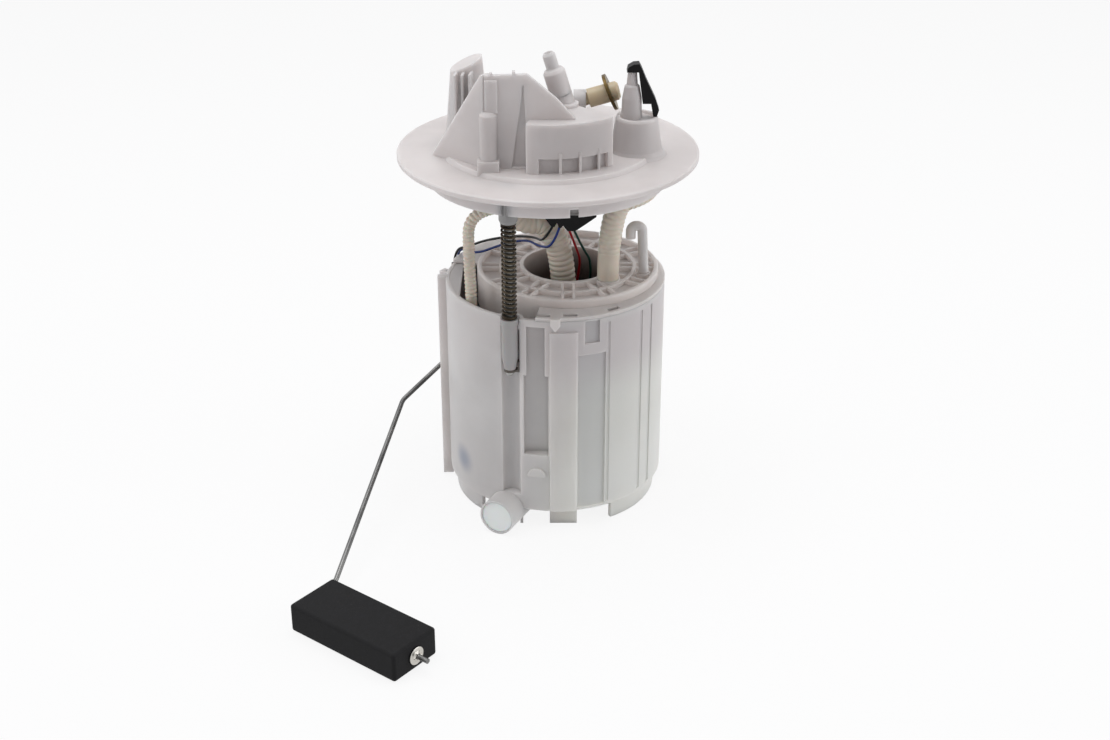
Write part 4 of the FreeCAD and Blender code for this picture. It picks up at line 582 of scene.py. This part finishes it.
def close_tree(line, section, scale, material):
    """End a tree with a round section swept along its line, as real geometry in its material."""
    sweep = {"Curve": line, "Profile Curve": section, "Fill Caps": True}
    if scale:
        sweep["Scale"] = scale
    swept = line.add("GeometryNodeCurveToMesh", None, sweep)
    real = swept.add("GeometryNodeRealizeInstances", None, {0: swept})
    dressed = real.add("GeometryNodeSetMaterial", None, {"Geometry": real, "Material": material})
    real.tree.links.new(dressed.socket, real.tree.nodes.new("NodeGroupOutput").inputs[0])


def ring_of(start, radius, sides):
    """A circle in a geometry tree."""
    return start.add("GeometryNodeCurvePrimitiveCircle", None,
                     {"Resolution": sides, "Radius": radius})


def give_between(piece, replaced):
    """Fix a flexible piece in place, and hide the CAD piece that it replaces."""
    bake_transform(piece)
    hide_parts(replaced)


# Corrugated fuel hoses: natural polyamide blown into ribs, with plain cuffs at both ends that are
# pushed over their spigots. Sizes and the two heights under give are in millimetres.
hoses = {
    "small_hose": {
        "route": [(-19.7, -29, -17.5), (-39, -29, -17.5), (-39, -29, -46), (-38.2, -29, -64),
                  (-38.2, -29, -85.8)],
        "Radius": 3.0, "Pitch": 2.2, "Depth": 0.5, "Cuff": 9, "End Cuff": 21, "give": (-74, -26),
    },
    "pump_hose": {
        "route": [(-22, -10, -5), (-22, -10, -33), (8, -5, -33), (8, -5, -78.8)],
        "Radius": 6.5, "Pitch": 2.9, "Depth": 0.5, "Cuff": 8, "End Cuff": 8, "give": (-66, -22),
    },
    "return_hose": {
        "route": [(30.2, -17, -59.8), (30.2, -17, -20), (48.2, -8, -18.5), (53, 11, -17.5),
                  (37.3, 26.7, -17.5)],
        "Radius": 5.7, "Pitch": 2.6, "Depth": 0.42, "Cuff": 14, "End Cuff": 8,
        "give": (-48.5, -25),
    },
}
hose_sizes = ("Radius", "Pitch", "Depth", "Cuff", "End Cuff")
steps_per_rib = 10
rib_power = 0.55
cuff_fullness = 0.55

hose_finish = moulded("hose_polyamide", srgb(220, 211, 196), srgb(204, 195, 179), 0.4, edge=0,
                      Subsurface_Weight=0.3, Subsurface_Scale=0.003)
hose_tree, hose_in = new_tree("ribbed_hose", {label: "NodeSocketFloat" for label in hose_sizes})
hose_line = hose_in["Geometry"].add("GeometryNodeResampleCurve", {"mode": "LENGTH"}, {
    "Curve": hose_in["Geometry"], "Length": hose_in["Pitch"] / steps_per_rib})
run = hose_line.add("GeometryNodeSplineParameter", output="Length")
whole = hose_line.add("GeometryNodeSplineLength", output="Length")
wave = (run / hose_in["Pitch"] * math.tau).calc("COSINE") * 0.5 + 0.5
ribbed = (run.calc("GREATER_THAN", hose_in["Cuff"])
          * (whole - run).calc("GREATER_THAN", hose_in["End Cuff"]))
fullness = ribbed * wave.calc("POWER", rib_power) + (1 - ribbed) * cuff_fullness
close_tree(hose_line, ring_of(hose_line, 1.0, 28),
           hose_in["Radius"] - hose_in["Depth"] * (1 - fullness), hose_finish)

for name, hose in hoses.items():
    ribbed_hose = grown(route(name + "_ribbed", hose["route"]), hose_tree,
                        {label: hose[label] / 1000 for label in hose_sizes})
    low, high = (height / 1000 for height in hose["give"])
    give_between(ribbed_hose, name)

# Springs on the guide rods: oiled steel wire in 22 turns, with a closed turn at each end. They
# push the bowl away from the flange, down on to the tank's floor.
rod_places = {"spring_front": (-0.0187, -0.0518), "spring_rear": (0.034, 0.0434)}
spring_foot, spring_rise, spring_turns = -0.0654, 0.0487, 22.0
coil_radius, steel_radius = 0.00322, 0.00062

spring_steel = metal("oiled_spring_steel", srgb(84, 76, 64), srgb(46, 40, 33), 0.3, wear=0.15)
spring_tree, spring_in = new_tree("coiled_spring", {
    "Place": "NodeSocketVector", "Coil": "NodeSocketFloat", "Wire": "NodeSocketFloat",
    "Turns": "NodeSocketFloat", "Height": "NodeSocketFloat",
})
coil = spring_in["Place"].add("GeometryNodeCurveSpiral", None, {
    "Resolution": 26, "Rotations": spring_in["Turns"], "Start Radius": spring_in["Coil"],
    "End Radius": spring_in["Coil"], "Height": spring_in["Height"]})
steel_lines = [coil]
for share in (0.0, 1.0):
    level = coil.add("ShaderNodeCombineXYZ", None, {"Z": spring_in["Height"] * share})
    steel_lines.append(coil.add("GeometryNodeTransform", None, {
        "Geometry": ring_of(coil, spring_in["Coil"], 48), "Translation": level}))
joined = coil.add("GeometryNodeJoinGeometry")
for line in steel_lines:
    coil.tree.links.new(line.socket, joined.socket.node.inputs[0])
moved = joined.add("GeometryNodeTransform", None, {"Geometry": joined,
                                                   "Translation": spring_in["Place"]})
close_tree(moved, ring_of(coil, spring_in["Wire"], 10), None, spring_steel)

for name, (x, y) in rod_places.items():
    seed = bpy.data.objects.new(name + "_coil", bpy.data.meshes.new(name))
    bpy.context.scene.collection.objects.link(seed)
    spring = grown(seed, spring_tree, {
        "Place": (x, y, spring_foot), "Coil": coil_radius, "Wire": steel_radius,
        "Turns": spring_turns, "Height": spring_rise})
    give_between(spring, name)

# Wires of the pump and the level sender: thin stranded leads in coloured insulation. Routes and
# the two heights listed with each wire are in millimetres.
pump_give, sender_give = (-78, -34), (-60, -32)
wires = {
    "wire_red": (
        [(10.4, -17.5, -33.5), (14.8, -9, -48), (16.9, 5, -61.7), (14, 9, -78.45)],
        srgb(158, 26, 34), pump_give),
    "wire_green": (
        [(12.8, -17.5, -33.5), (17, -12, -45), (23, 2, -60), (21, 8, -78.45)],
        srgb(18, 62, 52), pump_give),
    "wire_black": (
        [(2.5, -17.5, -31.4), (-2, -12, -42.5), (-7, 0, -44.5), (-18.6, 8, -47.4),
         (-32.8, 14, -52.1), (-42, 20, -58.2), (-49.3, 24.5, -61.5), (-50.285, 26.597, -72.8)],
        srgb(20, 20, 22), sender_give),
    "wire_blue": (
        [(6, -17.5, -31.4), (2.5, -17, -43), (-4, -5, -48), (-11.4, 5, -47.7), (-25, 11, -53.6),
         (-38.3, 16, -61), (-48.6, 27.5, -61), (-47.823, 29.749, -72.8)],
        srgb(30, 56, 128), sender_give),
}
wire_radius, wire_step = 0.00065, 0.001

wire_tree, wire_in = new_tree("insulated_wire", {
    "Radius": "NodeSocketFloat", "Finish": "NodeSocketMaterial"})
wire_line = wire_in["Geometry"].add("GeometryNodeResampleCurve", {"mode": "LENGTH"}, {
    "Curve": wire_in["Geometry"], "Length": wire_step})
close_tree(wire_line, ring_of(wire_line, wire_in["Radius"], 10), None, wire_in["Finish"])

for name, (points, tone, give) in wires.items():
    insulation = moulded(name + "_insulation", tone, tuple(c * 0.7 for c in tone), 0.3,
                         grain=0.08, Specular_IOR_Level=0.25)
    lead = grown(route(name + "_lead", points), wire_tree,
                 {"Radius": wire_radius, "Finish": insulation})
    low, high = (height / 1000 for height in give)
    give_between(lead, name)
